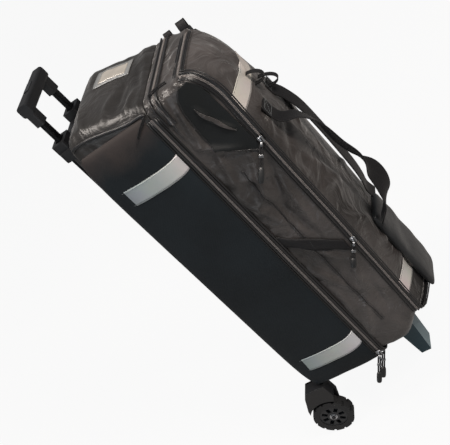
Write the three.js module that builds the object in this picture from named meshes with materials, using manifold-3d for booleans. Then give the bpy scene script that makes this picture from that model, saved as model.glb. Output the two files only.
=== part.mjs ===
// A three-ball roller bag: a padded ball case on a moulded base with two wheels, a telescopic
// trolley handle behind it, and a shoe section on top of the balls that swings open on a zip.
// Millimetres, +Z up, with the origin at the middle of the foot's sole. The bag stands on its wheels
// and foot; its front, with the straps, faces -Y.
import * as THREE from "three";
import Module from "manifold-3d";
import { mergeVertices } from "three/addons/utils/BufferGeometryUtils.js";

const wasm = await Module();
wasm.setup();

// Driving dimensions.
const gap = 0.4; // clearance between pieces that touch
const wheelRadius = 46;
const wheelWidth = 26;
const wheelY = 224;
const caseHalfWidth = 126; // outside of the ball case, without its side pockets
const caseBack = 198; // back face of the back board
const zipY = 31; // plane of the zip that opens the ball case
const caseBottom = 142;
const caseTop = 900;
const wall = 5; // foam-lined fabric
const boardThickness = 5;
const pocketDepth = 17;
const frontY = -89; // outside of the shoe section's front wall, at the zip of its flap
const frontHalfWidth = 106;
const shoeFloorY = -43; // board between the balls and the shoes
const flapCrown = 22;
const flapThickness = 4;
const tubePitch = 111;
const tubeY = 240;
const outerTube = { x: 28, y: 20, wall: 1.6 };
const middleTube = { x: 23, y: 15.4, wall: 1.5 };
const innerTube = { x: 18, y: 11 };
const tubeFoot = 172; // height of the tubes' lower ends
const housingHeight = 40;
const housingTop = 922;
const gripTop = 1022;
const gripLeg = 54;
const bearingRadius = 9;
const boltRadius = 4;
const runningGap = 0.25;
const footHalfWidth = 24;
const footY = 0; // middle of the foot's leg
const stripWidth = 39;
const cardWidth = 62;
const cardLength = 78;
const strapWidth = 38;
const strapThickness = 2.4;
const zipThickness = 2.2;
const sliderHeight = 6;
const zipTape = 6; // width of each half
const upperStripTop = 798;
const lowerStripTop = 240;

const finishes = {
  fabric: [0x2a2829, 0.85, 0],
  sidePanel: [0x16191c, 0.9, 0],
  board: [0x1b1c1e, 0.6, 0],
  plastic: [0x131416, 0.45, 0],
  tube: [0x17191d, 0.35, 0.7],
  steel: [0xa8abae, 0.3, 1],
  tyre: [0x17181a, 0.8, 0],
  footPlastic: [0x6d7c80, 0.5, 0],
  reflective: [0xb9bfc2, 0.45, 0],
  webbing: [0x0c0c0e, 0.9, 0],
  zip: [0x111214, 0.5, 0],
  foam: [0x303236, 0.95, 0],
  window: [0xd8d4d0, 0.25, 0],
};
const materials = Object.fromEntries(
  Object.entries(finishes).map(([name, [color, roughness, metalness]]) => [
    name,
    new THREE.MeshStandardMaterial({ color, roughness, metalness }),
  ]),
);

const bag = new THREE.Group();

function add(name, geometry, finish) {
  const mesh = new THREE.Mesh(geometry, materials[finish]);
  mesh.name = name;
  bag.add(mesh);
  return mesh;
}

// A box from its lowest to its highest corner.
function slab(x0, x1, y0, y1, z0, z1) {
  const g = new THREE.BoxGeometry(x1 - x0, y1 - y0, z1 - z0);
  return g.translate((x0 + x1) / 2, (y0 + y1) / 2, (z0 + z1) / 2);
}

// Two distances from the middle plane, mirrored by s and put in rising order.
function span(s, a, b) {
  return [s * a, s * b].sort((p, q) => p - q);
}

// An outline of [a, b] points pushed along an axis: "x" takes points as (y, z), "z" takes (x, y).
function prism(points, axis, from, to) {
  const shape = new THREE.Shape(points.map(([a, b]) => new THREE.Vector2(a, b)));
  const g = new THREE.ExtrudeGeometry(shape, { depth: to - from, bevelEnabled: false });
  if (axis === "x") g.rotateX(Math.PI / 2).rotateZ(Math.PI / 2);
  return axis === "x" ? g.translate(from, 0, 0) : g.translate(0, 0, from);
}

// A round-cornered rectangle, half sizes a and b, as points.
function roundedRectangle(a, b, r, steps = 4) {
  const points = [];
  for (let corner = 0; corner < 4; corner++) {
    const cx = (corner === 0 || corner === 3 ? 1 : -1) * (a - r);
    const cy = (corner < 2 ? 1 : -1) * (b - r);
    for (let i = 0; i <= steps; i++) {
      const t = (Math.PI / 2) * (corner + i / steps);
      points.push([cx + r * Math.cos(t), cy + r * Math.sin(t)]);
    }
  }
  return points;
}

function moved(points, dx, dy) {
  return points.map(([x, y]) => [x + dx, y + dy]);
}

function solid(geometry) {
  const g = geometry.clone();
  g.deleteAttribute("normal");
  g.deleteAttribute("uv");
  const merged = mergeVertices(g, 1e-3);
  return new wasm.Manifold(
    new wasm.Mesh({
      numProp: 3,
      vertProperties: merged.attributes.position.array,
      triVerts: new Uint32Array(merged.index.array),
    }),
  );
}

function geometryOf(made) {
  const mesh = made.getMesh();
  const g = new THREE.BufferGeometry();
  g.setAttribute("position", new THREE.BufferAttribute(mesh.vertProperties, 3));
  g.setIndex(new THREE.BufferAttribute(mesh.triVerts, 1));
  return g;
}

function cut(body, ...cutters) {
  return geometryOf(cutters.reduce((a, c) => a.subtract(solid(c)), solid(body)));
}

function join(...bodies) {
  return geometryOf(bodies.map(solid).reduce((a, b) => a.add(b)));
}

// A disc or ring about the X axis, from x0 to x1.
function ring(outer, inner, x0, x1, y, z, steps = 40) {
  const profile = [[inner, x0], [outer, x0], [outer, x1], [inner, x1], [inner, x0]];
  const g = new THREE.LatheGeometry(profile.map(([r, h]) => new THREE.Vector2(r, h)), steps);
  return g.rotateZ(-Math.PI / 2).translate(0, y, z);
}

// A flat band that follows a list of points; its width lies along the given direction.
function band(points, width, thickness, across) {
  const n = points.length;
  const positions = [];
  for (let i = 0; i < n; i++) {
    const before = points[Math.max(i - 1, 0)];
    const after = points[Math.min(i + 1, n - 1)];
    const along = new THREE.Vector3().subVectors(after, before).normalize();
    const side = across.clone().addScaledVector(along, -across.dot(along)).normalize();
    const up = new THREE.Vector3().crossVectors(along, side).normalize();
    for (const [a, b] of [[-1, -1], [1, -1], [1, 1], [-1, 1]]) {
      const p = points[i].clone();
      p.addScaledVector(side, (a * width) / 2).addScaledVector(up, (b * thickness) / 2);
      positions.push(p.x, p.y, p.z);
    }
  }
  const index = [0, 2, 1, 0, 3, 2];
  for (let i = 0; i < n - 1; i++) {
    for (let k = 0; k < 4; k++) {
      const a = 4 * i + k;
      const b = 4 * i + ((k + 1) % 4);
      index.push(a, b, b + 4, a, b + 4, a + 4);
    }
  }
  const e = 4 * (n - 1);
  index.push(e, e + 1, e + 2, e, e + 2, e + 3);
  const g = new THREE.BufferGeometry();
  g.setAttribute("position", new THREE.Float32BufferAttribute(positions, 3));
  g.setIndex(index);
  return g;
}

// Ball case: back board, base, walls, side pockets and the foam bed that the balls sit in.
const inside = caseHalfWidth - wall;
const boardFront = caseBack - boardThickness;
const baseTop = caseBottom + 14;
const topInside = caseTop - wall;
const ballSpan = (topInside - baseTop) / 3;
const bedThickness = 16;

function ballCase() {
  add("back_board", slab(-inside, inside, boardFront, caseBack, baseTop + gap, topInside - gap), "board");
  const walls = [-1, 1].map((s) => {
    const [x0, x1] = span(s, caseHalfWidth, inside);
    return slab(x0, x1, zipY + gap, caseBack, baseTop + gap, topInside - gap);
  });
  add("side_wall_left", walls[0], "fabric");
  add("side_wall_right", walls[1], "fabric");
  const topWall = slab(-caseHalfWidth, caseHalfWidth, zipY + gap, caseBack, topInside, caseTop);
  add("top_wall", topWall, "fabric");
  for (const [side, s] of [["left", -1], ["right", 1]]) {
    const start = s * (caseHalfWidth + gap);
    const end = s * (caseHalfWidth + pocketDepth);
    const outline = [
      [caseBack - 1, start], [zipY + 12, start], [zipY + 14, start + s * 10],
      [zipY + 34, end], [caseBack - 26, end], [caseBack - 1, start + s * 8],
    ].map(([y, x]) => [x, y]);
    const ordered = s < 0 ? outline : outline.slice().reverse();
    add(`side_pocket_${side}`, prism(ordered, "z", baseTop + 2, topInside - 2), "sidePanel");
  }
  const bedBack = boardFront - gap;
  const bedHalf = inside - gap;
  const bedFront = bedBack - bedThickness;
  const bed = slab(-bedHalf, bedHalf, bedFront, bedBack, baseTop + gap, topInside - gap);
  const cups = [0, 1, 2].map((i) => {
    const g = new THREE.CylinderGeometry(62, 62, bedThickness + 4, 32);
    return g.translate(0, bedBack - bedThickness / 2, baseTop + ballSpan * (i + 0.5));
  });
  add("foam_ball_bed", cut(bed, ...cups), "foam");
  for (const [i, name] of [[1, "ball_divider_lower"], [2, "ball_divider_upper"]]) {
    const z = baseTop + ballSpan * i;
    add(name, slab(-bedHalf, bedHalf, zipY + 6, bedFront - gap, z - 3, z + 3), "foam");
  }
}

// Moulded base with the two wheel housings, and the front foot that the bag stands on.
const wheelOutside = 141;
const wheelInside = wheelOutside - wheelWidth;
const cheek = 7;

function base() {
  const trayHalf = caseHalfWidth + 6;
  const trayFront = zipY + zipTape + 2 * gap;
  const trayBack = caseBack + 6;
  const trayTop = caseBottom + 9;
  const tray = slab(-trayHalf, trayHalf, trayFront, trayBack, caseBottom, trayTop);
  const tubeSeat = slab(-80, 80, caseBack + 2, tubeY + 14, caseBottom, tubeFoot - gap);
  const rim = slab(-trayHalf, trayHalf, caseBack + gap, trayBack, caseBottom, baseTop + 24);
  add("base_tray", join(tray, tubeSeat, rim), "plastic");
  const floor = slab(-inside, inside, zipY + gap, caseBack - gap, trayTop + gap, baseTop);
  add("case_floor", floor, "fabric");
  for (const [side, s] of [["left", -1], ["right", 1]]) {
    const arm = [
      [wheelY + 40, caseBottom - gap], [wheelY - 56, caseBottom - gap],
      [wheelY - 56, caseBottom - 22], [wheelY - 44, wheelRadius + 34],
      [wheelY - 18, wheelRadius - 12], [wheelY + 18, wheelRadius - 12],
      [wheelY + 38, wheelRadius + 22],
    ];
    const inner = prism(arm, "x", ...span(s, wheelInside - 2, wheelInside - 2 - cheek));
    const fenderShape = [
      [wheelY + 40, caseBottom - gap], [wheelY - 56, caseBottom - gap],
      [wheelY - 56, caseBottom - 22], [wheelY - 50, wheelRadius + 50],
      [wheelY + 40, wheelRadius + 50],
    ];
    const fender = prism(fenderShape, "x", ...span(s, wheelInside - 2 - cheek, wheelOutside));
    const bore = new THREE.CylinderGeometry(boltRadius + gap, boltRadius + gap, 60, 24)
      .rotateZ(Math.PI / 2).translate(s * (wheelInside - 6), wheelY, wheelRadius);
    const housing = join(inner, cut(fender, archCutter(s)));
    add(`wheel_housing_${side}`, cut(housing, bore), "plastic");
  }
  // The foot's arm lies flat under the tray, and steps down in front of it to pass below the zip.
  const armTop = caseBottom - gap;
  const armStep = armTop - zipThickness - sliderHeight - 4 * gap;
  const foot = [
    [caseBack - 90, armTop], [trayFront, armTop], [trayFront - gap, armStep], [footY - 22, armStep],
    [footY - 20, 84], [footY - 12, 0], [footY + 12, 0], [footY + 20, 84],
    [footY + 42, armTop - 14], [caseBack - 90, armTop - 14],
  ];
  add("front_foot", prism(foot, "x", -footHalfWidth, footHalfWidth), "footPlastic");
}

// The wheel arch as a plain drum that clears the tyre.
function archCutter(s) {
  const [x0, x1] = span(s, wheelInside - 2, wheelOutside + 2);
  return new THREE.CylinderGeometry(wheelRadius + 5, wheelRadius + 5, x1 - x0, 40)
    .rotateZ(Math.PI / 2).translate((x0 + x1) / 2, wheelY, wheelRadius);
}

// One wheel: bolt, bearing, spoked hub and tread tyre.
function wheel(side, s) {
  const [t0, t1] = span(s, wheelInside, wheelOutside);
  const rimRadius = 31;
  const treads = 24;
  let tyre = solid(ring(wheelRadius, rimRadius + runningGap, t0, t1, wheelY, wheelRadius, 48));
  for (let i = 0; i < treads; i++) {
    const a = (2 * Math.PI * i) / treads;
    const inner = span(s, wheelInside - 1, wheelInside + 11);
    const outer = span(s, wheelOutside - 11, wheelOutside + 1);
    const [c0, c1] = i % 2 ? inner : outer;
    const notch = slab(c0, c1, -2.6, 2.6, wheelRadius - 3.2, wheelRadius + 4).rotateX(a);
    tyre = tyre.subtract(solid(notch.translate(0, wheelY, wheelRadius)));
  }
  add(`tyre_${side}`, geometryOf(tyre), "tyre");
  const [h0, h1] = span(s, wheelInside + 1, wheelOutside - 2);
  let hub = solid(ring(rimRadius, bearingRadius + runningGap, h0, h1, wheelY, wheelRadius, 40));
  const spokes = 8;
  for (let i = 0; i < spokes; i++) {
    const [c0, c1] = span(s, wheelOutside - 10, wheelOutside);
    const pocket = slab(c0, c1, -4.4, 4.4, 14, 27).rotateX((2 * Math.PI * i) / spokes);
    hub = hub.subtract(solid(pocket.translate(0, wheelY, wheelRadius)));
  }
  add(`hub_${side}`, geometryOf(hub), "plastic");
  const [b0, b1] = span(s, wheelInside + 2, wheelOutside - 1);
  const bearing = ring(bearingRadius, boltRadius + runningGap, b0, b1, wheelY, wheelRadius, 32);
  add(`bearing_${side}`, bearing, "steel");
  const [a0, a1] = span(s, wheelInside - 12, wheelOutside - 0.5);
  const bolt = new THREE.CylinderGeometry(boltRadius, boltRadius, a1 - a0, 24).rotateZ(Math.PI / 2);
  const nut = new THREE.CylinderGeometry(boltRadius * 1.9, boltRadius * 1.9, 3, 6).rotateZ(Math.PI / 2);
  const head = new THREE.CylinderGeometry(boltRadius * 1.7, boltRadius * 1.7, 1.8, 24).rotateZ(Math.PI / 2);
  bolt.translate((a0 + a1) / 2, wheelY, wheelRadius);
  nut.translate(s * (wheelInside - 2 - cheek - 1.5 - gap), wheelY, wheelRadius);
  head.translate(s * (wheelOutside + 0.4), wheelY, wheelRadius);
  add(`axle_bolt_${side}`, join(bolt, nut, head), "steel");
}

// Trolley: fixed outer tubes behind the board, a middle stage, and inner tubes with the grip.
const tubeX = tubePitch / 2;
const outerTop = housingTop - housingHeight + 8;
const middleTop = housingTop - 3;
const middleFoot = tubeFoot + 20;
const innerFoot = middleFoot + 60;

function tube(x, size, from, to, bore) {
  const body = prism(moved(roundedRectangle(size.x / 2, size.y / 2, 3.5), x, tubeY), "z", from, to);
  if (!bore) return body;
  const hollow = moved(roundedRectangle(size.x / 2 - size.wall, size.y / 2 - size.wall, 2.4), x, tubeY);
  return cut(body, prism(hollow, "z", from + 8, to + 1));
}

function tubes() {
  for (const [side, s] of [["left", -1], ["right", 1]]) {
    const innerTop = gripTop - gripLeg + 12;
    add(`outer_tube_${side}`, tube(s * tubeX, outerTube, tubeFoot, outerTop, true), "tube");
    add(`middle_tube_${side}`, tube(s * tubeX, middleTube, middleFoot, middleTop, true), "tube");
    add(`inner_tube_${side}`, tube(s * tubeX, innerTube, innerFoot, innerTop, false), "tube");
  }
}

// A round-cornered block round the tube on side s, half sizes a and b.
function block(a, b, radius, s, from, to) {
  return prism(moved(roundedRectangle(a, b, radius), s * tubeX, tubeY), "z", from, to);
}

// A hole for a tube of a given size, with clearance all round.
function tubeHole(size, s, from, to) {
  return block(size.x / 2 + gap, size.y / 2 + gap, 3.9, s, from, to);
}

function handleHousing() {
  const bottom = housingTop - housingHeight;
  const outline = moved(roundedRectangle(84, 23, 10), 0, tubeY - 10);
  const plate = prism(outline, "z", bottom, housingTop - 18);
  const collars = [-1, 1].map((s) => block(21, 16, 5, s, housingTop - 20, housingTop));
  const holes = [-1, 1].flatMap((s) => [
    tubeHole(outerTube, s, housingTop - 60, outerTop + gap),
    tubeHole(middleTube, s, housingTop - 60, housingTop + 1),
  ]);
  const lug = slab(-84, 84, caseBack + 12, tubeY - 24, bottom - 40, bottom + 6);
  const body = join(plate, ...collars, lug);
  add("handle_housing", cut(body, ...holes), "plastic");
}

// The cover wraps the outer tubes, open at both ends, with a step that lets the housing's lug in.
function trolleyCover() {
  const coverHalf = tubeX + outerTube.x / 2 + 2.5;
  const coverBack = tubeY + outerTube.y / 2 + 2;
  const coverTop = housingTop - housingHeight - gap;
  const coverPoints = [
    [-coverHalf - 6, caseBack + 6.5], [coverHalf + 6, caseBack + 6.5],
    [coverHalf + 2, coverBack + 2], [-coverHalf - 2, coverBack + 2],
  ];
  const cover = prism(coverPoints, "z", tubeFoot + gap, coverTop);
  const hollow = slab(-coverHalf, coverHalf, caseBack + 9, coverBack, tubeFoot - 1, coverTop + 1);
  const lugRoom = slab(-90, 90, caseBack, tubeY - 23.5, coverTop - 41, coverTop + 1);
  add("trolley_cover", cut(cover, hollow, lugRoom), "fabric");
}

// The grip with its release button let into the bar.
function grip() {
  const legBottom = gripTop - gripLeg;
  const legs = [-1, 1].map((s) => block(12, 10, 4, s, legBottom, gripTop - 6));
  const bar = roundedRectangle(13, 13, 6).map(([y, z]) => [y + tubeY, z + gripTop - 13]);
  const crossbar = prism(bar, "x", -tubeX - 12, tubeX + 12);
  const sockets = [-1, 1].map((s) => tubeHole(innerTube, s, legBottom - 1, legBottom + 12 + gap));
  const well = slab(-17, 17, tubeY - 6.4, tubeY + 6.4, gripTop - 8, gripTop + 1);
  add("grip", cut(join(...legs, crossbar), ...sockets, well), "plastic");
  const button = slab(-16.5, 16.5, tubeY - 6, tubeY + 6, gripTop - 4.5, gripTop + 1.5);
  add("release_button", button, "plastic");
}

// Shoe section: side, top and bottom walls, a board between shoes and balls, and the lid's half of the zip.
const sectionHalfWidth = caseHalfWidth - 1;
const sectionBottom = caseBottom + 4;
const sectionTop = caseTop + 4;
const sectionBack = zipY - gap;
const cornerBottom = 70; // the front corners are cut back: how far up the lower one reaches
const cornerTop = 44;
const cornerDepth = 44;
const edgeSlope = (sectionHalfWidth - frontHalfWidth - wall) / (zipY - frontY);

// Half of the section's width at a depth y, to the outside of its walls.
function halfWidthAt(y) {
  return sectionHalfWidth - edgeSlope * (zipY - y);
}

function sectionPlan(inset) {
  return [
    [-halfWidthAt(sectionBack) + inset, sectionBack], [-halfWidthAt(frontY) + inset, frontY],
    [halfWidthAt(frontY) - inset, frontY], [halfWidthAt(sectionBack) - inset, sectionBack],
  ];
}

function shoeSection() {
  const sideOutline = [
    [sectionBack, sectionBottom + wall + gap], [frontY + cornerDepth, sectionBottom + wall + gap],
    [frontY, sectionBottom + cornerBottom], [frontY, sectionTop - cornerTop],
    [frontY + cornerDepth / 2, sectionTop - wall - gap], [sectionBack, sectionTop - wall - gap],
  ];
  for (const [side, s] of [["left", -1], ["right", 1]]) {
    const panel = prism(sideOutline, "x", ...span(s, sectionHalfWidth - wall, sectionHalfWidth));
    const lean = s * edgeSlope;
    const shear = new THREE.Matrix4().set(1, lean, 0, -lean * zipY, 0, 1, 0, 0, 0, 0, 1, 0, 0, 0, 0, 1);
    add(`gusset_${side}`, panel.applyMatrix4(shear), "fabric");
  }
  const plan = solid(prism(sectionPlan(wall + gap), "z", sectionBottom - 9, sectionTop + 9));
  const bottom = [
    [sectionBack, sectionBottom], [frontY + cornerDepth, sectionBottom],
    [frontY, sectionBottom + cornerBottom - wall], [frontY, sectionBottom + cornerBottom],
    [frontY + cornerDepth + 1, sectionBottom + wall], [sectionBack, sectionBottom + wall],
  ];
  const top = [
    [sectionBack, sectionTop], [frontY + cornerDepth / 2, sectionTop],
    [frontY, sectionTop - cornerTop + wall], [frontY, sectionTop - cornerTop - wall],
    [frontY + cornerDepth / 2 + 1, sectionTop - wall], [sectionBack, sectionTop - wall],
  ];
  for (const [name, outline] of [["gusset_bottom", bottom], ["gusset_top", top]]) {
    const wide = sectionHalfWidth + 15;
    add(name, geometryOf(solid(prism(outline, "x", -wide, wide)).intersect(plan)), "fabric");
  }
  const floorHalf = halfWidthAt(shoeFloorY) - wall - 1.5;
  const floorBottom = sectionBottom + wall + gap + cornerDepth * 0.12;
  const floorTop = sectionTop - wall - gap;
  const floor = slab(-floorHalf, floorHalf, shoeFloorY - 3, shoeFloorY, floorBottom, floorTop);
  add("shoe_floor", floor, "board");
}

// The zip round the ball case, one tape on the case and one on the shoe section, open at the top.
function ballZip() {
  const tapes = [["ball_zip_case_tape", zipY + gap / 2], ["ball_zip_lid_tape", zipY - gap / 2 - zipTape]];
  const half = caseHalfWidth + gap;
  const bottom = caseBottom - zipThickness - gap;
  for (const [name, y] of tapes) {
    const outer = slab(-half - zipThickness, half + zipThickness, y, y + zipTape, bottom, topInside - 30);
    const inner = slab(-half, half, y - 1, y + zipTape + 1, caseBottom - gap, topInside);
    add(name, cut(outer, inner), "zip");
  }
}

// The crowned front flap, hinged along its right edge, with its two reflective strips, and the side strips.
const flapBottom = sectionBottom + cornerBottom + 2;
const flapTop = sectionTop - cornerTop - 2;
const flapHalf = frontHalfWidth + wall;
const stripThickness = 0.8;

// Depth of the flap's outer face at a sideways distance x.
function crownAt(x) {
  return frontY - gap - flapThickness - flapCrown * Math.cos((Math.PI / 2) * (x / flapHalf));
}

function crownBand(halfWidth, lift, thickness, steps) {
  const outer = [];
  const inner = [];
  for (let i = 0; i <= steps; i++) {
    const x = -halfWidth + (2 * halfWidth * i) / steps;
    outer.push([x, crownAt(x) - lift - thickness]);
    inner.push([x, crownAt(x) - lift]);
  }
  return outer.concat(inner.reverse());
}

function shoeFlap() {
  const panel = crownBand(flapHalf, -flapThickness, flapThickness, 16);
  add("shoe_flap", prism(panel, "z", flapBottom, flapTop), "fabric");
  const strip = crownBand(flapHalf - 24, gap, stripThickness, 12);
  for (const [place, top] of [["upper", upperStripTop + 20], ["lower", lowerStripTop + 40]]) {
    add(`flap_strip_${place}`, prism(strip, "z", top - stripWidth, top), "reflective");
  }
}

function sideStrips() {
  const face = caseHalfWidth + pocketDepth + gap;
  for (const [side, s] of [["left", -1], ["right", 1]]) {
    const [x0, x1] = span(s, face, face + stripThickness);
    for (const [place, top] of [["upper", upperStripTop], ["lower", lowerStripTop]]) {
      const strip = slab(x0, x1, zipY + 34, caseBack - 27, top - stripWidth, top);
      add(`side_strip_${side}_${place}`, strip, "reflective");
    }
  }
}

// Carry handles: two webbing loops sewn to the flap. The left one stands up, the right one lies lower.
const loopX = 45;
const loopTop = 706;
const loopBottom = 430;
const loopRise = { left: 82, right: 40 };
const loopTail = 26; // sewn length past each end of the loop
const wrapBottom = 180;
const wrapThickness = 14;

function carryHandles() {
  const steps = 24;
  for (const [side, s] of [["left", -1], ["right", 1]]) {
    const sewnY = crownAt(loopX - strapWidth / 2) - gap - strapThickness / 2;
    const middle = (loopTop + loopBottom) / 2;
    const halfLoop = (loopTop - loopBottom) / 2;
    const path = [new THREE.Vector3(s * loopX, sewnY, loopTop + loopTail)];
    for (let i = 0; i <= steps; i++) {
      const t = (Math.PI * i) / steps;
      const rise = loopRise[side] * Math.pow(Math.sin(t), 0.7);
      path.push(new THREE.Vector3(s * loopX, sewnY - rise, middle + halfLoop * Math.cos(t)));
    }
    path.push(new THREE.Vector3(s * loopX, sewnY, loopBottom - loopTail));
    const strap = band(path, strapWidth, strapThickness, new THREE.Vector3(1, 0, 0));
    add(`carry_strap_${side}`, strap, "webbing");
  }
  const back = crownAt(0) - 3 * gap - stripThickness;
  const face = back - wrapThickness;
  const half = 44;
  const wrap = [[-half, back], [half, back], [half - 8, face], [-half + 8, face]];
  const top = loopBottom - loopTail - 4 * gap;
  add("handle_wrap", prism(wrap, "z", wrapBottom, top), "webbing");
}

// Top of the case: a small end pocket with a card window.
function topEnd() {
  const pocketTop = caseTop + 12;
  const pocket = [
    [zipY + 12, caseTop + gap], [caseBack - 4, caseTop + gap],
    [caseBack - 12, pocketTop], [zipY + 26, pocketTop],
  ];
  add("end_pocket", prism(pocket, "x", -100, 100), "fabric");
  const cardX = 50;
  const cardY = zipY + 84;
  const border = 9;
  const panel = (inset, z0, z1) => {
    const x = cardWidth / 2 - inset;
    const y = cardLength / 2 - inset;
    return slab(cardX - x, cardX + x, cardY - y, cardY + y, z0, z1);
  };
  const frame = panel(0, pocketTop + gap, pocketTop + 2);
  add("card_frame", cut(frame, panel(border, pocketTop, pocketTop + 3)), "window");
  add("card_window", panel(border + gap, pocketTop + gap, pocketTop + 1.2), "window");
}

// Zip sliders and their cord pulls. The pulls hang as they do when the bag is wheeled along.
const hang = new THREE.Vector3(-0.64, 0.45, -0.62).normalize();
const pullOffset = 2.2; // from a slider's end to the start of its pull

function slider(name, centre, size, pullLength) {
  const [x, y, z] = centre;
  const [dx, dy, dz] = size;
  add(`${name}_slider`, new THREE.BoxGeometry(dx, dy, dz).translate(x, y, z), "steel");
  const reach = Math.max(dx, dy, dz) / 2 + pullOffset;
  const start = new THREE.Vector3(x, y, z).addScaledVector(hang, reach);
  const points = [0, 0.5, 0.72, 1].map((t) => start.clone().addScaledVector(hang, t * pullLength));
  add(`${name}_pull`, band(points, 7, 3.4, new THREE.Vector3(1, 0, 0)), "webbing");
}

function sliders() {
  const outside = caseHalfWidth + zipThickness + 2 * gap + sliderHeight / 2;
  const under = caseBottom - zipThickness - 2 * gap - sliderHeight / 2;
  slider("ball_zip_left", [-outside, zipY, caseBottom + 12], [sliderHeight, 13, 12], 46);
  slider("ball_zip_right", [-104, zipY, under], [12, 13, sliderHeight], 46);
  const edge = -flapHalf - gap - sliderHeight / 2;
  slider("shoe_zip_upper", [edge, frontY - 6, 724], [sliderHeight, 9, 12], 60);
  slider("shoe_zip_lower", [edge, frontY - 6, 432], [sliderHeight, 9, 12], 40);
}

ballCase();
base();
wheel("left", -1);
wheel("right", 1);
tubes();
handleHousing();
trolleyCover();
grip();
shoeSection();
ballZip();
shoeFlap();
sideStrips();
carryHandles();
topEnd();
sliders();

export default bag;
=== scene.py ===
# A three-ball roller bag, stood on its wheels and foot: nylon ball case with matte side pockets, a zipped
# shoe section in front of it, webbing carry loops, and a telescopic trolley handle behind.
import math

import bpy
from mathutils import Matrix, Vector, noise


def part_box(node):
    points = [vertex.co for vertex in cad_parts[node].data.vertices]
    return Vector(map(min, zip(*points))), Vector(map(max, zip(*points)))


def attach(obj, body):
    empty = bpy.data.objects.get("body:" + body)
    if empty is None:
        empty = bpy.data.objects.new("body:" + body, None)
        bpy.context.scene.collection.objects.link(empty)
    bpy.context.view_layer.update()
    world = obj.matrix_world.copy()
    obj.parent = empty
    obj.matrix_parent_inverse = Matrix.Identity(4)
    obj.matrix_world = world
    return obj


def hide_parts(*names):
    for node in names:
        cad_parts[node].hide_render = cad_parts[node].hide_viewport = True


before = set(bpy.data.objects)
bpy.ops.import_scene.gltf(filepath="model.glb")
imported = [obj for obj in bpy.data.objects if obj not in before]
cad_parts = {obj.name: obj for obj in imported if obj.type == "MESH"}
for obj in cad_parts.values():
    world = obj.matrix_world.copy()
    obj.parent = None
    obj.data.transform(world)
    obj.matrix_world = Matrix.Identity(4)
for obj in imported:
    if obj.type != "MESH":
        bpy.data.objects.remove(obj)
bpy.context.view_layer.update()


# ---- Camera -------------------------------------------------------------------------------------
# A long lens, rolled so that the bag leans as it does when it is pulled along.
MM = 0.001
camera_data = bpy.data.cameras.new("camera")
camera_data.lens = 80
camera_data.sensor_width = 36
camera = bpy.data.objects.new("camera", camera_data)
bpy.context.scene.collection.objects.link(camera)
bpy.context.scene.camera = camera
camera_right = Vector((0.0662667, -0.7742519, -0.6293987))
camera_up = Vector((0.6368366, -0.4527840, 0.6240400))
camera_back = camera_right.cross(camera_up)
camera.matrix_world = Matrix.Translation((-1.5970, -0.7731, 1.5058)) @ Matrix((
    (camera_right.x, camera_up.x, camera_back.x, 0),
    (camera_right.y, camera_up.y, camera_back.y, 0),
    (camera_right.z, camera_up.z, camera_back.z, 0),
    (0, 0, 0, 1),
))


# ---- Studio -------------------------------------------------------------------------------------
# A white sweep that still takes the bag's shadow, a large soft lamp before and above the carry loops, a
# weaker one on the side pocket, and one high behind the bag.
def linear(hex_colour):
    channels = [int(hex_colour[i:i + 2], 16) / 255 for i in (0, 2, 4)]
    return tuple(c / 12.92 if c <= 0.04045 else ((c + 0.055) / 1.055) ** 2.4 for c in channels) + (1,)


# Adds a node, sets its values by socket name or number, and links sockets given as (node, output) pairs.
def node(tree, kind, settings=None, **sockets):
    made = tree.nodes.new(kind)
    for key, value in (settings or {}).items():
        setattr(made, key, value)
    for key, value in sockets.items():
        by_number = key[0] == "i" and key[1:].isdigit()
        socket = made.inputs[int(key[1:]) if by_number else key.replace("_", " ")]
        if isinstance(value, tuple) and len(value) == 2 and isinstance(value[0], bpy.types.Node):
            tree.links.new(value[0].outputs[value[1]], socket)
        else:
            socket.default_value = value
    return made


def new_material(name):
    material = bpy.data.materials.new(name)
    material.use_nodes = True
    material.node_tree.nodes.clear()
    return material, material.node_tree


sweep_material, tree = new_material("white_sweep")
sweep_diffuse = node(tree, "ShaderNodeBsdfDiffuse", Color=linear("a8a8a8"))
sweep_glow = node(tree, "ShaderNodeEmission", Color=(1, 1, 1, 1), Strength=1.0)
light_path = node(tree, "ShaderNodeLightPath")
camera_share = node(tree, "ShaderNodeMath", {"operation": "MULTIPLY"}, i0=(light_path, "Is Camera Ray"),
                    i1=0.93)
sweep_mix = node(tree, "ShaderNodeMixShader", i0=(camera_share, 0), i1=(sweep_diffuse, 0), i2=(sweep_glow, 0))
node(tree, "ShaderNodeOutputMaterial", Surface=(sweep_mix, 0))
sweep_mesh = bpy.data.meshes.new("floor")
reach = 60
sweep_mesh.from_pydata([(-reach, -reach, 0), (reach, -reach, 0), (reach, reach, 0), (-reach, reach, 0)], [],
                       [(0, 1, 2, 3)])
sweep_mesh.materials.append(sweep_material)
floor = bpy.data.objects.new("floor", sweep_mesh)
bpy.context.scene.collection.objects.link(floor)

world = bpy.data.worlds.new("studio")
bpy.context.scene.world = world
world.use_nodes = True
tree = world.node_tree
tree.nodes.clear()
paths = node(tree, "ShaderNodeLightPath")
seen = node(tree, "ShaderNodeMath", {"operation": "MAXIMUM"}, i0=(paths, "Is Camera Ray"),
            i1=(paths, "Is Transmission Ray"))
sky = node(tree, "ShaderNodeBackground", Color=linear("eceff2"), Strength=0.22)
backdrop = node(tree, "ShaderNodeBackground", Color=(1, 1, 1, 1), Strength=1.0)
sky_mix = node(tree, "ShaderNodeMixShader", i0=(seen, 0), i1=(sky, 0), i2=(backdrop, 0))
node(tree, "ShaderNodeOutputWorld", Surface=(sky_mix, 0))
bpy.context.scene.view_settings.view_transform = "Standard"


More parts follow.
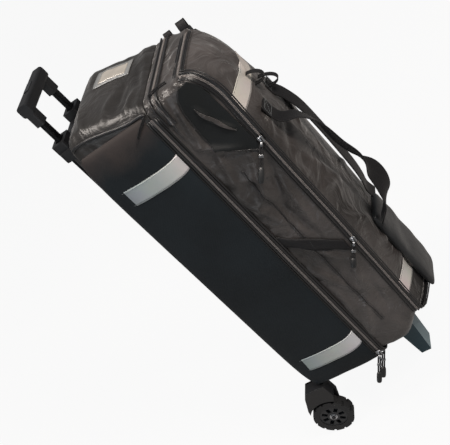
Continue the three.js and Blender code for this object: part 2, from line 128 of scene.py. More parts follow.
def lamp(name, place, target, size, power, colour):
    data = bpy.data.lights.new(name, "AREA")
    data.size = size
    data.energy = power
    data.color = linear(colour)[:3]
    made = bpy.data.objects.new(name, data)
    bpy.context.scene.collection.objects.link(made)
    made.location = place
    made.rotation_euler = (Vector(target) - Vector(place)).to_track_quat("-Z", "Y").to_euler()


lamp("key", (-0.9, -1.9, 2.6), (0, 0, 0.5), 0.7, 74, "fff4ea")
lamp("side", (-2.6, 0.6, 1.1), (0, 0.05, 0.4), 1.4, 14, "eef4fa")
lamp("top", (-0.3, 0.5, 2.9), (0, 0.05, 0.8), 0.7, 44, "fff6ee")


# ---- Nylon, the bag's main cloth ------------------------------------------------------------------
# Coated pack nylon: a dull brown-black plain weave whose coating gives broad soft highlights along folds.
# The case wears a darker copy of it, painted shade on its padded end; the side pockets a matte copy painted dark
# teal as shade, and the patches a dark cloth.
def cloth_material(name, dark, light, roughness, sheen, crease, weave_mm, patches=6.0, specular=0.5):
    material, tree = new_material(name)
    place = node(tree, "ShaderNodeTexCoord")
    broad = node(tree, "ShaderNodeTexNoise", i0=(place, "Object"), Scale=patches, Detail=5.0, Roughness=0.6)
    tone = node(tree, "ShaderNodeValToRGB", Fac=(broad, "Fac"))
    tone.color_ramp.elements[0].position = 0.36
    tone.color_ramp.elements[0].color = linear(dark)
    tone.color_ramp.elements[1].position = 0.66
    tone.color_ramp.elements[1].color = linear(light)
    threads = 3.1416 / (weave_mm * MM) / 6.2832
    warp = node(tree, "ShaderNodeTexWave", {"bands_direction": "Z"}, i0=(place, "Object"),
                Scale=threads / 3.0, Distortion=0.4)
    weft = node(tree, "ShaderNodeTexWave", {"bands_direction": "DIAGONAL"}, i0=(place, "Object"),
                Scale=threads / 4.0)
    weave = node(tree, "ShaderNodeMath", {"operation": "MULTIPLY"}, i0=(warp, "Fac"), i1=(weft, "Fac"))
    folds = node(tree, "ShaderNodeTexNoise", i0=(place, "Object"), Scale=17.0, Detail=3.0, Roughness=0.5,
                 Distortion=1.4)
    fine = node(tree, "ShaderNodeBump", Strength=0.35, Distance=0.0004, Height=(weave, 0))
    creased = node(tree, "ShaderNodeBump", Strength=crease, Distance=0.006, Height=(folds, "Fac"),
                   Normal=(fine, 0))
    gloss = node(tree, "ShaderNodeMapRange", i0=(broad, "Fac"), i1=0.3, i2=0.7, i3=roughness + 0.08,
                 i4=roughness - 0.08)
    cloth = node(tree, "ShaderNodeBsdfPrincipled", Base_Color=(tone, 0), Roughness=(gloss, 0),
                 Normal=(creased, 0))
    cloth.inputs["Sheen Weight"].default_value = sheen
    cloth.inputs["Sheen Roughness"].default_value = 0.4
    cloth.inputs["Specular IOR Level"].default_value = specular
    node(tree, "ShaderNodeOutputMaterial", Surface=(cloth, 0))
    return material


nylon = cloth_material("coated_nylon", "151312", "454140", 0.38, 0.24, 1.5, 0.9)
# The case's copy of the nylon is painted darker, as painted shade on its padded end.
case_nylon_painted_shade = cloth_material("coated_nylon_painted_shade_for_the_case", "0a0909", "2a2827", 0.38, 0.14, 0.8, 0.8)
# The side pockets wear the nylon painted dark teal, as painted shade; near the top it gives way to the cloth's
# own brown.
side_cloth_painted_shade = cloth_material("matte_nylon_painted_shade", "0a1217", "111b21", 0.74, 0.06, 0.18, 0.9, 3.0, 0.3)
# A dark cloth for the patches on the gussets, darker than the nylon around them.
dark_patch_cloth = cloth_material("dark_gusset_patch_cloth", "070b0d", "0c1113", 0.6, 0.05, 0.1, 0.7, 5.0, 0.3)


# Turns a cloth browner above a height, in metres, with a ragged edge between the two tones; on the side pockets
# this ends their painted shade near the top, where the cloth shows its own brown.
def browner_above(material, brown, from_z, to_z, ragged):
    tree = material.node_tree
    place = next(n for n in tree.nodes if n.bl_idname == "ShaderNodeTexCoord")
    cloth = next(n for n in tree.nodes if n.bl_idname == "ShaderNodeBsdfPrincipled")
    height = node(tree, "ShaderNodeSeparateXYZ", i0=(place, "Object"))
    ragged_edge_noise = node(tree, "ShaderNodeTexNoise", i0=(place, "Object"), Scale=16.0, Detail=4.0)
    raised = node(tree, "ShaderNodeMath", {"operation": "MULTIPLY_ADD"},
                  i0=(ragged_edge_noise, "Fac"), i1=ragged, i2=(height, "Z"))
    near_end = node(tree, "ShaderNodeMapRange", i0=(raised, 0), i1=from_z, i2=to_z, i3=0.0, i4=1.0)
    toned = node(tree, "ShaderNodeMix", {"data_type": "RGBA"}, i0=(near_end, 0), i7=linear(brown))
    tree.links.new(cloth.inputs["Base Color"].links[0].from_socket, toned.inputs[6])
    tree.links.new(toned.outputs[2], cloth.inputs["Base Color"])


browner_above(side_cloth_painted_shade, "2f2a29", 0.865, 0.925, 0.09)


# Makes an object from points in millimetres; its place is in its mesh.
def piece(name, points, faces, material, body, slot, smooth=True):
    mesh = bpy.data.meshes.new(name)
    mesh.from_pydata([tuple(c * MM for c in p) for p in points], [], faces)
    mesh.materials.append(material)
    mesh.validate()
    for polygon in mesh.polygons:
        polygon.use_smooth = smooth
    made = bpy.data.objects.new(name, mesh)
    bpy.context.scene.collection.objects.link(made)
    if body:
        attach(made, body)
    return made


# Four-sided faces over a grid of points; a loop joins each row's end to its start.
def grid_faces(rows, columns, loop=False):
    faces = []
    for i in range(rows - 1):
        for j in range(columns if loop else columns - 1):
            k = (j + 1) % columns
            faces.append((i * columns + j, i * columns + k, (i + 1) * columns + k, (i + 1) * columns + j))
    return faces


# A sheet over a grid of points, thickened inwards into a closed shell.
def shell(name, rows, material, body, slot, thickness, loop=False, flip=False):
    columns = len(rows[0])
    points = [p for row in rows for p in row]
    faces = grid_faces(len(rows), columns, loop)
    if flip:
        faces = [tuple(reversed(f)) for f in faces]
    made = piece(name, points, faces, material, body, slot)
    solid = made.modifiers.new("cloth thickness", "SOLIDIFY")
    solid.thickness = thickness * MM
    solid.offset = -1
    return made


# Rises smoothly from 0 at a to 1 at b.
def smooth_step(a, b, t):
    u = max(0.0, min(1.0, (t - a) / (b - a)))
    return u * u * (3 - 2 * u)


# Soft folds in cloth: slow noise, pulled out along one direction, in millimetres.
def folds(x, y, z, amount, stretch_along=(1, 1, 1), size=60.0, seed=0.0):
    p = Vector((x / size * stretch_along[0] + seed, y / size * stretch_along[1], z / size * stretch_along[2]))
    ridge = 1 - abs(noise.noise(p)) * 2
    return amount * (0.6 * noise.noise(p * 0.7 + Vector((7, 3, 1)))
                     + 0.55 * ridge * ridge * noise.noise(p * 1.7))


CREASE_DEPTH = 1.35  # all creases are drawn this much deeper than their own heights


# Placed creases: each is (start, end, height, width) in a plane, a soft ridge that dies away at both ends.
def creases(a, b, ridges):
    total = 0.0
    for (a0, b0), (a1, b1), height, width in ridges:
        length = math.hypot(a1 - a0, b1 - b0)
        along = ((a - a0) * (a1 - a0) + (b - b0) * (b1 - b0)) / length
        off = ((a - a0) * (b1 - b0) - (b - b0) * (a1 - a0)) / length
        if -width < along < length + width and abs(off) < 3 * width:
            share = min(1, max(0, (along + width) / (length + 2 * width)))
            total += height * math.sin(math.pi * share) * math.exp(-(off / width) ** 2)
    return total * CREASE_DEPTH


# ---- Ball case ------------------------------------------------------------------------------------
# The case's padded end, back and sides: foam between nylon and lining, sewn to a stiff board at the back, with a
# matte pocket panel on each side.

# The lowest and highest corners of a piece's box, in millimetres.
def box_mm(name):
    return tuple(Vector(c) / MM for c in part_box(name))


zip_y = (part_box("ball_zip_case_tape")[0][1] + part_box("ball_zip_lid_tape")[1][1]) / 2 / MM
case_low, case_high = box_mm("side_wall_left")
case_half = -case_low.x
case_back = case_high.y
case_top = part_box("top_wall")[1][2] / MM
case_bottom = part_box("base_tray")[0][2] / MM
pocket_low, pocket_high = box_mm("side_pocket_left")
END_RADIUS = 26
END_CROWN = 10
END_RISE = 20  # the padded end stands this much higher at the trolley handle than at the zip
side_foot = case_bottom + 18


# The case's outline at one depth: up the left side, over the end and down the right side.
def case_section(z_top, half, steps=10, radius=END_RADIUS):
    outline = [(-half, side_foot + (z_top - radius - side_foot) * i / 24) for i in range(25)]
    for i in range(1, steps + 1):
        a = math.pi / 2 * i / steps
        outline.append((-half + radius - radius * math.cos(a), z_top - radius + radius * math.sin(a)))
    across = 48
    outline += [(-half + radius + (2 * half - 2 * radius) * i / across, z_top) for i in range(1, across)]
    for i in range(steps + 1):
        a = math.pi / 2 * (1 - i / steps)
        outline.append((half - radius + radius * math.cos(a), z_top - radius + radius * math.sin(a)))
    outline += [(half, z_top - radius - (z_top - radius - side_foot) * i / 24) for i in range(1, 25)]
    return outline


# Creases in the padded end, as (x, y) pairs.
END_CREASES = [
    ((-118, 70), (-40, 52), 4, 7), ((-120, 120), (-30, 100), 3.5, 8), ((-110, 160), (-20, 176), 4, 9),
    ((-60, 46), (40, 60), -3, 8), ((20, 160), (110, 172), 3.5, 9), ((-100, 92), (0, 78), -3, 6),
    ((40, 40), (116, 60), 3, 8),
]


# 0 at the end's two edges and 1 between them.
def end_edge(t):
    return smooth_step(0, 0.06, t) * smooth_step(0, 0.09, 1 - t)


# How far a depth is from the zip, 0, to the back, 1.
def end_share(y):
    return (y - zip_y - 0.8) / (case_back + 1.2 - zip_y)


# Height of the padded end before its crown and folds.
def end_top(t):
    return case_top + 4 + 5 * end_edge(t) + END_RISE * smooth_step(0.15, 0.85, t)


# How far the padded end stands above its own edge, at a place across it.
def end_relief(x, y):
    t = end_share(y)
    half = case_half - 2.2 + 2.2 * end_edge(t)
    rise = math.sin(math.pi * min(1, max(0, t * 0.9 + 0.05))) ** 0.6
    crown = END_CROWN * max(0.0, 1 - abs(x / half) ** 2.6) * rise
    wrinkle = folds(x, y, end_top(t), 3.6, (0.7, 1.6, 1.6), 46, 3.0) + creases(x, y, END_CREASES)
    return crown + wrinkle * end_edge(t)


rows = []
for i in range(49):
    t = i / 48
    y = zip_y + 0.8 + (case_back + 1.2 - zip_y) * t
    half = case_half - 2.2 + 2.2 * end_edge(t)
    top = end_top(t)
    row = []
    for x, z in case_section(top, half):
        on_end = smooth_step(top - 30, top, z)
        wrinkle = folds(x, y, z, 3.2, (0.7, 1.6, 1.6), 46, 3.0) * end_edge(t)
        outward = 1 if x > 0 else -1
        row.append((x + (1 - on_end) * outward * wrinkle, y, z + on_end * end_relief(x, y)))
    rows.append(row)
case_shell = shell("case_end_and_sides", rows, case_nylon_painted_shade, "case", "fabric", 2.5)
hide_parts("side_wall_left", "side_wall_right", "top_wall", "end_pocket")

# The side pockets: a large matte panel over foam, sewn round its edge, its face gently crowned.
panel_foot = case_bottom - 2


# Distance of a pocket's face from the middle plane.
def pocket_x(y, z):
    middle_y = (pocket_low.y + pocket_high.y) / 2
    middle_z = (panel_foot + pocket_high.z) / 2
    a = abs((y - middle_y) / ((pocket_high.y - pocket_low.y) / 2))
    b = abs((z - middle_z) / ((pocket_high.z - panel_foot) / 2))
    crown = max(0.0, 1 - a ** 5) ** 0.5 * max(0.0, 1 - b ** 16) ** 0.5
    swell = 1.5 * math.cos(math.pi / 2 * min(1, a)) - 1.5
    near_end = smooth_step(0.72, 1.0, b)
    wrinkle = folds(y * 0.5, y, z, 1.6 + 4.5 * near_end, (1, 1.2, 0.6), 62, 5.0)
    return case_half - 1 + crown * (17.5 + swell + wrinkle)


for side, s in (("left", -1), ("right", 1)):
    rows = []
    for i in range(121):
        b = math.sin(math.pi / 2 * (i / 60 - 1)) * 0.35 + (i / 60 - 1) * 0.65
        z = (panel_foot + pocket_high.z) / 2 + b * (pocket_high.z - panel_foot) / 2
        row = []
        for j in range(41):
            a = math.sin(math.pi / 2 * (j / 20 - 1)) * 0.6 + (j / 20 - 1) * 0.4
            y = (pocket_low.y - 4 + pocket_high.y) / 2 + a * (pocket_high.y - pocket_low.y + 4) / 2
            corner = max(0.0, abs(b) - 0.955) / 0.045
            y_in = (1 - 0.10 * corner ** 2)
            y = (pocket_low.y + pocket_high.y) / 2 - 2 + (y - (pocket_low.y + pocket_high.y) / 2 + 2) * y_in
            bulge = 14 * smooth_step(0.2, 1.0, j / 40) * max(0.0, 1 - abs(b) ** 8) ** 0.6
            row.append((s * pocket_x(y, z), y + bulge, z))
        rows.append(row)
    pocket = shell(f"side_pocket_{side}_panel", rows, side_cloth_painted_shade, "case", "side_panel", 2.0, flip=s < 0)
    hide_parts(f"side_pocket_{side}")


# ---- Shoe section -----------------------------------------------------------------------------------
# The front half of the bag: nylon gussets from the ball zip to the flap, cut back at both ends. It swings up
# about the top edge of the case when the ball zip is open.
section_low = Vector(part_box("gusset_bottom")[0]) / MM
section_high = Vector(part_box("gusset_top")[1]) / MM
front_y = Vector(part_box("gusset_left")[0]).y / MM
section_half = -Vector(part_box("gusset_left")[0]).x / MM
front_half = -Vector(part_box("shoe_flap")[0]).x / MM
flap_low, flap_high = box_mm("shoe_flap")
flap_low.z -= 24  # the padded cloth hangs below the flap's stiff part


# Creases in the gusset's side, as (y, z) pairs: pleats hanging from the zip's top end, pulls from the band.
GUSSET_CREASES = [
    ((-12, 905), (14, 800), 5, 5), ((2, 900), (22, 760), -4, 5), ((-22, 880), (0, 770), 4, 6),
    ((12, 880), (26, 700), 4, 4),
    ((-20, 770), (6, 660), 5, 8), ((-60, 705), (-20, 610), 6, 9), ((-80, 690), (-30, 560), -5, 9),
    ((20, 660), (-20, 540), 5, 9),
    ((-70, 640), (-60, 500), 6, 8), ((-30, 600), (-50, 460), -5, 9), ((10, 520), (-60, 400), 5, 8),
    ((20, 430), (-30, 330), 6, 8),
    ((-70, 420), (-40, 300), 5, 9), ((0, 380), (10, 250), 5, 8), ((-60, 330), (-50, 240), -4, 8),
    ((-30, 300), (20, 200), 5, 9),
    ((10, 790), (-60, 730), 5, 7), ((15, 690), (-70, 650), 4, 8), ((18, 590), (-40, 640), 4, 7),
]

# Where the flap's upper end turns over the section: the height it starts at, its highest point and its depth.
wrap_start = flap_high.z - 38
flap_end = flap_high.z + 46
wrap_back = front_y + 39
FLAP_STAND = 4.4  # the flap's cloth stands this far in front of the gussets


# Width of the bag's front from the middle plane, to the left (-1) or right (1). The right side falls in.
def front_reach(z, s):
    if s < 0:
        return front_half * (1 - 0.13 * smooth_step(620, 900, z))
    return front_half * (1 - 0.42 * smooth_step(640, 880, z))


# Distance of the gusset from the middle plane, at a depth y and height z.
def gusset_x(y, z, s=-1):
    t = (zip_y - y) / (zip_y - front_y)
    slack = 6 * math.sin(math.pi * min(1, max(0, t))) * (0.6 + 0.4 * math.sin(z / 150 + 0.6))
    edge = smooth_step(0, 0.12, t) * smooth_step(0, 0.12, 1 - t)
    ripple = (folds(y * 0.4, y, z, 6.5, (1, 0.9, 0.75), 58, 11.0) + creases(y, z, GUSSET_CREASES)) * edge
    pinch = (front_half - front_reach(z, s)) * smooth_step(0.1 if s > 0 else 0.45, 1.0, t)
    return section_half - (section_half - front_half - 1) * t + slack + ripple - pinch


# Height of the gusset's top at a depth: level, then rounded down in front, under the flap's turned-over end.
def gusset_top_z(y):
    level = section_high.z + 3
    if y > wrap_back:
        return level
    share = min(1.0, (wrap_back - y) / (wrap_back - front_y + FLAP_STAND - 1))
    return wrap_start - 3 + (level - wrap_start - 3) * math.sqrt(1 - share * share)


# Points of a round corner from angle a0 to a1, in degrees, in the X-Z plane.
def corner(cx, y, cz, radius, a0, a1):
    angles = [math.radians(a0 + (a1 - a0) * k / 8) for k in range(9)]
    return [(cx + radius * math.cos(a), y, cz + radius * math.sin(a)) for a in angles]


# The gussets as one loop at each depth: left side, top, right side and bottom.
def gusset_rows():
    rows = []
    for i in range(57):
        t = i / 56
        y = zip_y - 0.8 + (front_y - zip_y + 0.8) * t
        low = section_low.z + 42 * smooth_step(0.5, 1.0, t) * t
        high = gusset_top_z(y)
        radius = 26
        top_radius = 26 - 20 * smooth_step(wrap_back + 30, wrap_back - 10, y) if y < wrap_back + 30 else 26
        sides = {}
        for s in (-1, 1):
            heights = [low + radius + (high - top_radius - low - radius) * k / 150 for k in range(151)]
            sides[s] = [(s * gusset_x(y, z, s), y, z) for z in heights]
        left, right = sides[-1], sides[1]
        row = corner(left[0][0] + radius, y, low + radius, radius, 270, 180)[:-1] + left
        row += corner(left[-1][0] + top_radius, y, high - top_radius, top_radius, 180, 90)[1:]
        x0, x1 = left[-1][0] + top_radius, right[-1][0] - top_radius
        for k in range(1, 32):
            x = x0 + (x1 - x0) * k / 32
            wrinkle = folds(x, y, high, 3.4, size=50) + creases(x, y, END_CREASES_FRONT)
            lift = wrinkle * math.sin(math.pi * k / 32)
            row.append((x, y, high + lift))
        row += corner(right[-1][0] - top_radius, y, high - top_radius, top_radius, 90, 0)[:-1]
        row += list(reversed(right))
        row += corner(right[0][0] - radius, y, low + radius, radius, 360, 270)[1:]
        x0, x1 = right[0][0] - radius, left[0][0] + radius
        row += [(x0 + (x1 - x0) * k / 20, y, low) for k in range(1, 20)]
        rows.append(row)
    return rows


# Creases in the gusset's top, as (x, y) pairs.
END_CREASES_FRONT = [
    ((-90, -10), (-40, -38), 4, 7), ((-60, -20), (20, -30), 3, 7), ((20, -12), (80, -34), 4, 8),
    ((-100, -40), (-30, -14), -3, 6),
]
gusset = shell("section_gussets", gusset_rows(), nylon, "shoe_section", "fabric", 2.4, loop=True, flip=True)
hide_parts("gusset_left", "gusset_right", "gusset_top", "gusset_bottom")


# ---- Flap -------------------------------------------------------------------------------------------
# The shoe section's crowned front, one nylon panel that bulges between the zips and wraps over the upper end.
# Its right edge is a plain fold, which the flap swings on.
# Creases are (x, z) pairs.
FLAP_CREASES = [
    ((-95, 700), (-20, 760), 6, 9), ((-90, 640), (0, 700), -4, 10), ((-100, 560), (-30, 520), 6, 9),
    ((-60, 620), (-20, 480), 5, 10),
    ((-96, 470), (-30, 400), 6, 9), ((20, 640), (80, 700), 5, 10), ((30, 520), (90, 470), 5, 10),
    ((-90, 380), (-10, 330), 5, 9),
    ((-80, 300), (30, 290), 4, 9), ((0, 800), (60, 860), 4, 9), ((-70, 850), (10, 800), 5, 9),
    ((50, 380), (95, 300), 5, 9),
]


# How far the flap stands out from its flat shape.
def flap_bulge(x, z):
    a = min(1.0, abs(x) / front_reach(z, -1 if x < 0 else 1))
    upper = smooth_step(640, 880, z)
    crown = (front_y - flap_low.y - 4) * math.cos(math.pi / 2 * a) ** 0.9
    lift = 4 * math.sin(math.pi * (z - flap_low.z) / (flap_end - flap_low.z))
    ripple = (folds(x, x * 0.3, z, 6.0, (0.8, 1, 0.8), 58, 23.0) + creases(x, z, FLAP_CREASES)) * (1 - a ** 4)
    return (crown + lift) * (1 - 0.45 * upper) + ripple * (1 - 0.4 * upper)


# A place on the flap: v runs from 0 to 1 up its straight part and from 1 to 2 over its turned-over end.
def flap_point(x, v, lift=0.0):
    turn = max(0.0, v - 1) * math.pi / 2
    z = flap_low.z + (wrap_start - flap_low.z) * min(1.0, v) + (flap_end - wrap_start) * math.sin(turn)
    y = wrap_back - (wrap_back - front_y + FLAP_STAND) * math.cos(turn)
    out = flap_bulge(x, min(z, flap_end - 1)) * (1 - 0.85 * smooth_step(1.0, 2.0, v)) + lift
    return (x, y - out * math.cos(turn), z + out * math.sin(turn))


# The flap's depth at a place on its straight part.
def flap_y(x, z):
    return flap_point(x, (z - flap_low.z) / (wrap_start - flap_low.z))[1]


rows = []
for i in range(161):
    v = i / 115 if i <= 115 else 1 + (i - 115) / 45
    z = flap_point(0, v)[2]
    left, right = front_reach(z, -1), front_reach(z, 1)
    rows.append([flap_point(-left + (left + right) * j / 72, v) for j in range(73)])
flap = shell("flap_panel", rows, nylon, "shoe_flap", "fabric", 2.4)
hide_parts("shoe_flap")


# ---- Reflective tape --------------------------------------------------------------------------------
# Silver glass-bead tape 39 mm wide, sewn across the pockets and the flap with a double row of stitches.
# The side tapes are painted greyer towards the back, as painted shade; the flap's are paler.
def tape_material(name, near, far):
    material, tree = new_material(name)
    place = node(tree, "ShaderNodeTexCoord")
    split = node(tree, "ShaderNodeSeparateXYZ", i0=(place, "Object"))
    # Painted shade: the side tape's colour runs from its near tone at the front to a greyer one at the back.
    across = node(tree, "ShaderNodeMapRange", i0=(split, "Y"), i1=0.05, i2=0.19, i3=0.0, i4=1.0)
    beads = node(tree, "ShaderNodeTexNoise", i0=(place, "Object"), Scale=900.0, Detail=1.0)
    smears = node(tree, "ShaderNodeTexNoise", i0=(place, "Object"), Scale=14.0, Detail=4.0)
    tone = node(tree, "ShaderNodeMix", {"data_type": "RGBA"}, i0=(across, 0), i6=linear(near), i7=linear(far))
    worn = node(tree, "ShaderNodeMix", {"data_type": "RGBA", "blend_type": "MULTIPLY"}, i0=0.25, i6=(tone, 2),
                i7=(smears, "Color"))
    grain = node(tree, "ShaderNodeBump", Strength=0.15, Distance=0.0003, Height=(beads, "Fac"))
    sheet = node(tree, "ShaderNodeBsdfPrincipled", Base_Color=(worn, 2), Roughness=0.42, Metallic=0.25,
                 Normal=(grain, 0))
    node(tree, "ShaderNodeOutputMaterial", Surface=(sheet, 0))
    return material


side_tape = tape_material("silver_bead_tape", "cfcfcf", "93a4a6")
flap_tape = tape_material("pale_bead_tape", "ded8d2", "ded8d2")


# A smooth material of one colour.
def plain_material(name, colour, roughness, metallic=0.0):
    material, tree = new_material(name)
    shader = node(tree, "ShaderNodeBsdfPrincipled", Base_Color=linear(colour), Roughness=roughness,
                  Metallic=metallic)
    node(tree, "ShaderNodeOutputMaterial", Surface=(shader, 0))
    return material


thread_material = plain_material("polyester_thread", "2b2c2f", 0.6)
pale_thread = plain_material("grey_thread", "6d7274", 0.6)


# A geometry node tree that sets a small block at each step along a line, turned to follow it: its X axis lies
# along the line and its Z axis along the line's stored "up".
def block_tree():
    made = bpy.data.node_groups.new("blocks_along_a_line", "GeometryNodeTree")
    face = made.interface
    face.new_socket("Geometry", in_out="INPUT", socket_type="NodeSocketGeometry")
    for label in ("Pitch", "Length", "Width", "Height"):
        face.new_socket(label, in_out="INPUT", socket_type="NodeSocketFloat")
    face.new_socket("Material", in_out="INPUT", socket_type="NodeSocketMaterial")
    face.new_socket("Geometry", in_out="OUTPUT", socket_type="NodeSocketGeometry")
    start = node(made, "NodeGroupInput")
    curve = node(made, "GeometryNodeMeshToCurve", Mesh=(start, "Geometry"))
    stepped = node(made, "GeometryNodeResampleCurve", {"mode": "LENGTH"}, Curve=(curve, 0),
                   Length=(start, "Pitch"))
    size = node(made, "ShaderNodeCombineXYZ", X=(start, "Length"), Y=(start, "Width"), Z=(start, "Height"))
    block = node(made, "GeometryNodeMeshCube", Size=(size, 0))
    along = node(made, "GeometryNodeInputTangent")
    up = node(made, "GeometryNodeInputNamedAttribute", {"data_type": "FLOAT_VECTOR"}, Name="up")
    turned = node(made, "FunctionNodeAlignRotationToVector", {"axis": "X"}, Vector=(along, 0))
    upright = node(made, "FunctionNodeAlignRotationToVector", {"axis": "Z", "pivot_axis": "X"},
                   Rotation=(turned, 0), Vector=(up, 0))
    placed = node(made, "GeometryNodeInstanceOnPoints", Points=(stepped, 0), Instance=(block, 0),
                  Rotation=(upright, 0))
    real = node(made, "GeometryNodeRealizeInstances", Geometry=(placed, 0))
    finished = node(made, "GeometryNodeSetMaterial", Geometry=(real, 0), Material=(start, "Material"))
    node(made, "NodeGroupOutput", Geometry=(finished, 0))
    return made


blocks = block_tree()


# Stitches and zip coils: blocks along lines, made a plain mesh. Lines are lists of (point, up), in mm.
def along_lines(name, lines, sizes, material, body):
    points, edges, ups = [], [], []
    for line in lines:
        first = len(points)
        points += [tuple(c * MM for c in p) for p, up in line]
        ups += [tuple(up) for p, up in line]
        edges += [(first + i, first + i + 1) for i in range(len(line) - 1)]
    mesh = bpy.data.meshes.new(name)
    mesh.from_pydata(points, edges, [])
    attribute = mesh.attributes.new("up", "FLOAT_VECTOR", "POINT")
    for item, up in zip(attribute.data, ups):
        item.vector = up
    made = bpy.data.objects.new(name, mesh)
    bpy.context.scene.collection.objects.link(made)
    repeat = made.modifiers.new("blocks", "NODES")
    repeat.node_group = blocks
    names = {item.name: item.identifier for item in blocks.interface.items_tree if item.in_out == "INPUT"}
    for label, value in zip(("Pitch", "Length", "Width", "Height"), sizes):
        repeat[names[label]] = value * MM
    repeat[names["Material"]] = material
    evaluated = made.evaluated_get(bpy.context.evaluated_depsgraph_get())
    plain = bpy.data.meshes.new_from_object(evaluated)
    made.modifiers.clear()
    made.data = plain
    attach(made, body)
    return made


# A thin patch laid on a surface: rows of (a, b) pairs mapped by a function to points.
def patch(name, rows, surface, material, body, slot, thickness, flip=False):
    return shell(name, [[surface(a, b) for a, b in row] for row in rows], material, body, slot, thickness,
                 flip=flip)


STITCH = (4.2, 2.6, 0.8, 0.5)  # pitch, length, width and height
TAPE_SAG = 3.0
SEAM_PLACES = (0.06, 0.94)  # the two rows of stitches, as shares of the tape's width
for side, s in (("left", -1), ("right", 1)):
    for place in ("upper", "lower"):
        low, high = box_mm(f"side_strip_{side}_{place}")
        first = pocket_low.y - 7
        last = pocket_high.y + (5 if place == "upper" else 0)

        def on_pocket(y, z, lift=1.1, s=s):
            return (s * (pocket_x(min(max(y, pocket_low.y - 2), pocket_high.y), z) + lift), y, z)

        rows = []
        for i in range(9):
            rows.append([])
            for j in range(31):
                y = first + (last - first) * j / 30
                sag = TAPE_SAG * math.sin(math.pi * j / 30)
                rows[-1].append((y, low.z + (high.z - low.z) * i / 8 - sag))
        strip = patch(f"side_tape_{side}_{place}", rows, on_pocket, side_tape, "case", "reflective", 0.6,
                      flip=s < 0)
        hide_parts(f"side_strip_{side}_{place}")
        lines = []
        for share in SEAM_PLACES:
            line = []
            for j in range(31):
                y = first + (last - first) * j / 30
                z = low.z + (high.z - low.z) * share - TAPE_SAG * math.sin(math.pi * j / 30)
                line.append((on_pocket(y, z, 1.5), (s, 0, 0)))
            lines.append(line)
        along_lines(f"side_tape_stitches_{side}_{place}", lines, STITCH, pale_thread, "case")

for place in ("upper", "lower"):
    low, high = box_mm(f"flap_strip_{place}")
    left, right = -front_reach(high.z, -1) + 6, front_reach(high.z, 1) - 6

    def on_flap(x, z, lift=0.9):
        return (x, flap_y(x, z) - lift, z)

    # A place on the tape: share runs up its width and j along its length, with a slight slant.
    def on_tape(share, j):
        return left + (right - left) * j / 40, low.z + (high.z - low.z) * share + 5 * (j / 40 - 0.5)

    rows = [[on_tape(i / 8, j) for j in range(41)] for i in range(9)]
    strip = patch(f"flap_tape_{place}", rows, on_flap, flap_tape, "shoe_flap", "reflective", 0.6)
    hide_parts(f"flap_strip_{place}")
    lines = [[(on_flap(*on_tape(share, j), 1.3), (0, -1, 0)) for j in range(41)] for share in SEAM_PLACES]
    along_lines(f"flap_tape_stitches_{place}", lines, STITCH, pale_thread, "shoe_flap")


# ---- Piping, zip tape and zip coil --------------------------------------------------------------------
# Every seam beside a zip is corded: a black binding over a cord 3 to 5 mm thick. The zips are nylon coil on
# woven tape.
def sheen_black(name, colour, roughness, rib_mm, bump, specular=0.5):
    material, tree = new_material(name)
    place = node(tree, "ShaderNodeTexCoord")
    ribs = node(tree, "ShaderNodeTexNoise", i0=(place, "Object"), Scale=1 / (rib_mm * MM), Detail=2.0)
    tone = node(tree, "ShaderNodeMix", {"data_type": "RGBA"}, i0=(ribs, "Fac"), i6=linear(colour),
                i7=linear("17171a"))
    relief = node(tree, "ShaderNodeBump", Strength=bump, Distance=0.0006, Height=(ribs, "Fac"))
    cloth = node(tree, "ShaderNodeBsdfPrincipled", Base_Color=(tone, 2), Roughness=roughness,
                 Normal=(relief, 0))
    cloth.inputs["Sheen Weight"].default_value = 0.05
    cloth.inputs["Specular IOR Level"].default_value = specular
    node(tree, "ShaderNodeOutputMaterial", Surface=(cloth, 0))
    return material


binding = sheen_black("woven_binding", "09090a", 0.36, 1.6, 0.4)
webbing = sheen_black("polypropylene_webbing", "040405", 0.6, 2.2, 0.9, 0.25)
# The coil is painted pale grey: a painted highlight standing for the glints along its turns.
coil_painted_glint = plain_material("nylon_coil_painted_glint", "7d7876", 0.22)


# A round cord along points, closed at its ends.
def cord_mesh(name, points, radius, material, body, slot, sides=8):
    points = [Vector(p) for p in points]
    rings = []
    side = None
    for i, p in enumerate(points):
        along = (points[min(i + 1, len(points) - 1)] - points[max(i - 1, 0)]).normalized()
        side = side or along.orthogonal().normalized()
        side = (side - along * side.dot(along)).normalized()
        other = along.cross(side)
        rings.append([p + radius * (math.cos(2 * math.pi * k / sides) * side
                                    + math.sin(2 * math.pi * k / sides) * other) for k in range(sides)])
    flat = [q for ring in rings for q in ring]
    faces = grid_faces(len(rings), sides, True)
    faces = [tuple(reversed(f)) for f in faces]
    faces.append(tuple(range(sides)))
    faces.append(tuple(reversed(range(len(flat) - sides, len(flat)))))
    return piece(name, flat, faces, material, body, slot)


# A flat ribbon along points; "wide" gives its width direction at each point.
def ribbon(name, points, wide, width, thickness, material, body, slot):
    points = [Vector(p) for p in points]
    corners = []
    for i, p in enumerate(points):
        along = (points[min(i + 1, len(points) - 1)] - points[max(i - 1, 0)]).normalized()
        across = Vector(wide[i] if isinstance(wide, list) else wide)
        across = (across - along * across.dot(along)).normalized()
        normal = along.cross(across)
        columns = 7
        face = [p + across * width * (k / (columns - 1) - 0.5) for k in range(columns)]
        corners.append([q + normal * thickness / 2 for q in face]
                       + [q - normal * thickness / 2 for q in reversed(face)])
    flat = [q for ring in corners for q in ring]
    count = len(corners[0])
    faces = [tuple(reversed(f)) for f in grid_faces(len(corners), count, True)]
    faces.append(tuple(range(count)))
    faces.append(tuple(reversed(range(len(flat) - count, len(flat)))))
    made = piece(name, flat, faces, material, body, slot)
    edge = made.modifiers.new("soft edge", "BEVEL")
    edge.width = thickness * 0.3 * MM
    edge.segments = 2
    return made


COIL = (2.4, 1.3, 1.7, 1.6)  # pitch, length, width and height of a coil's turn


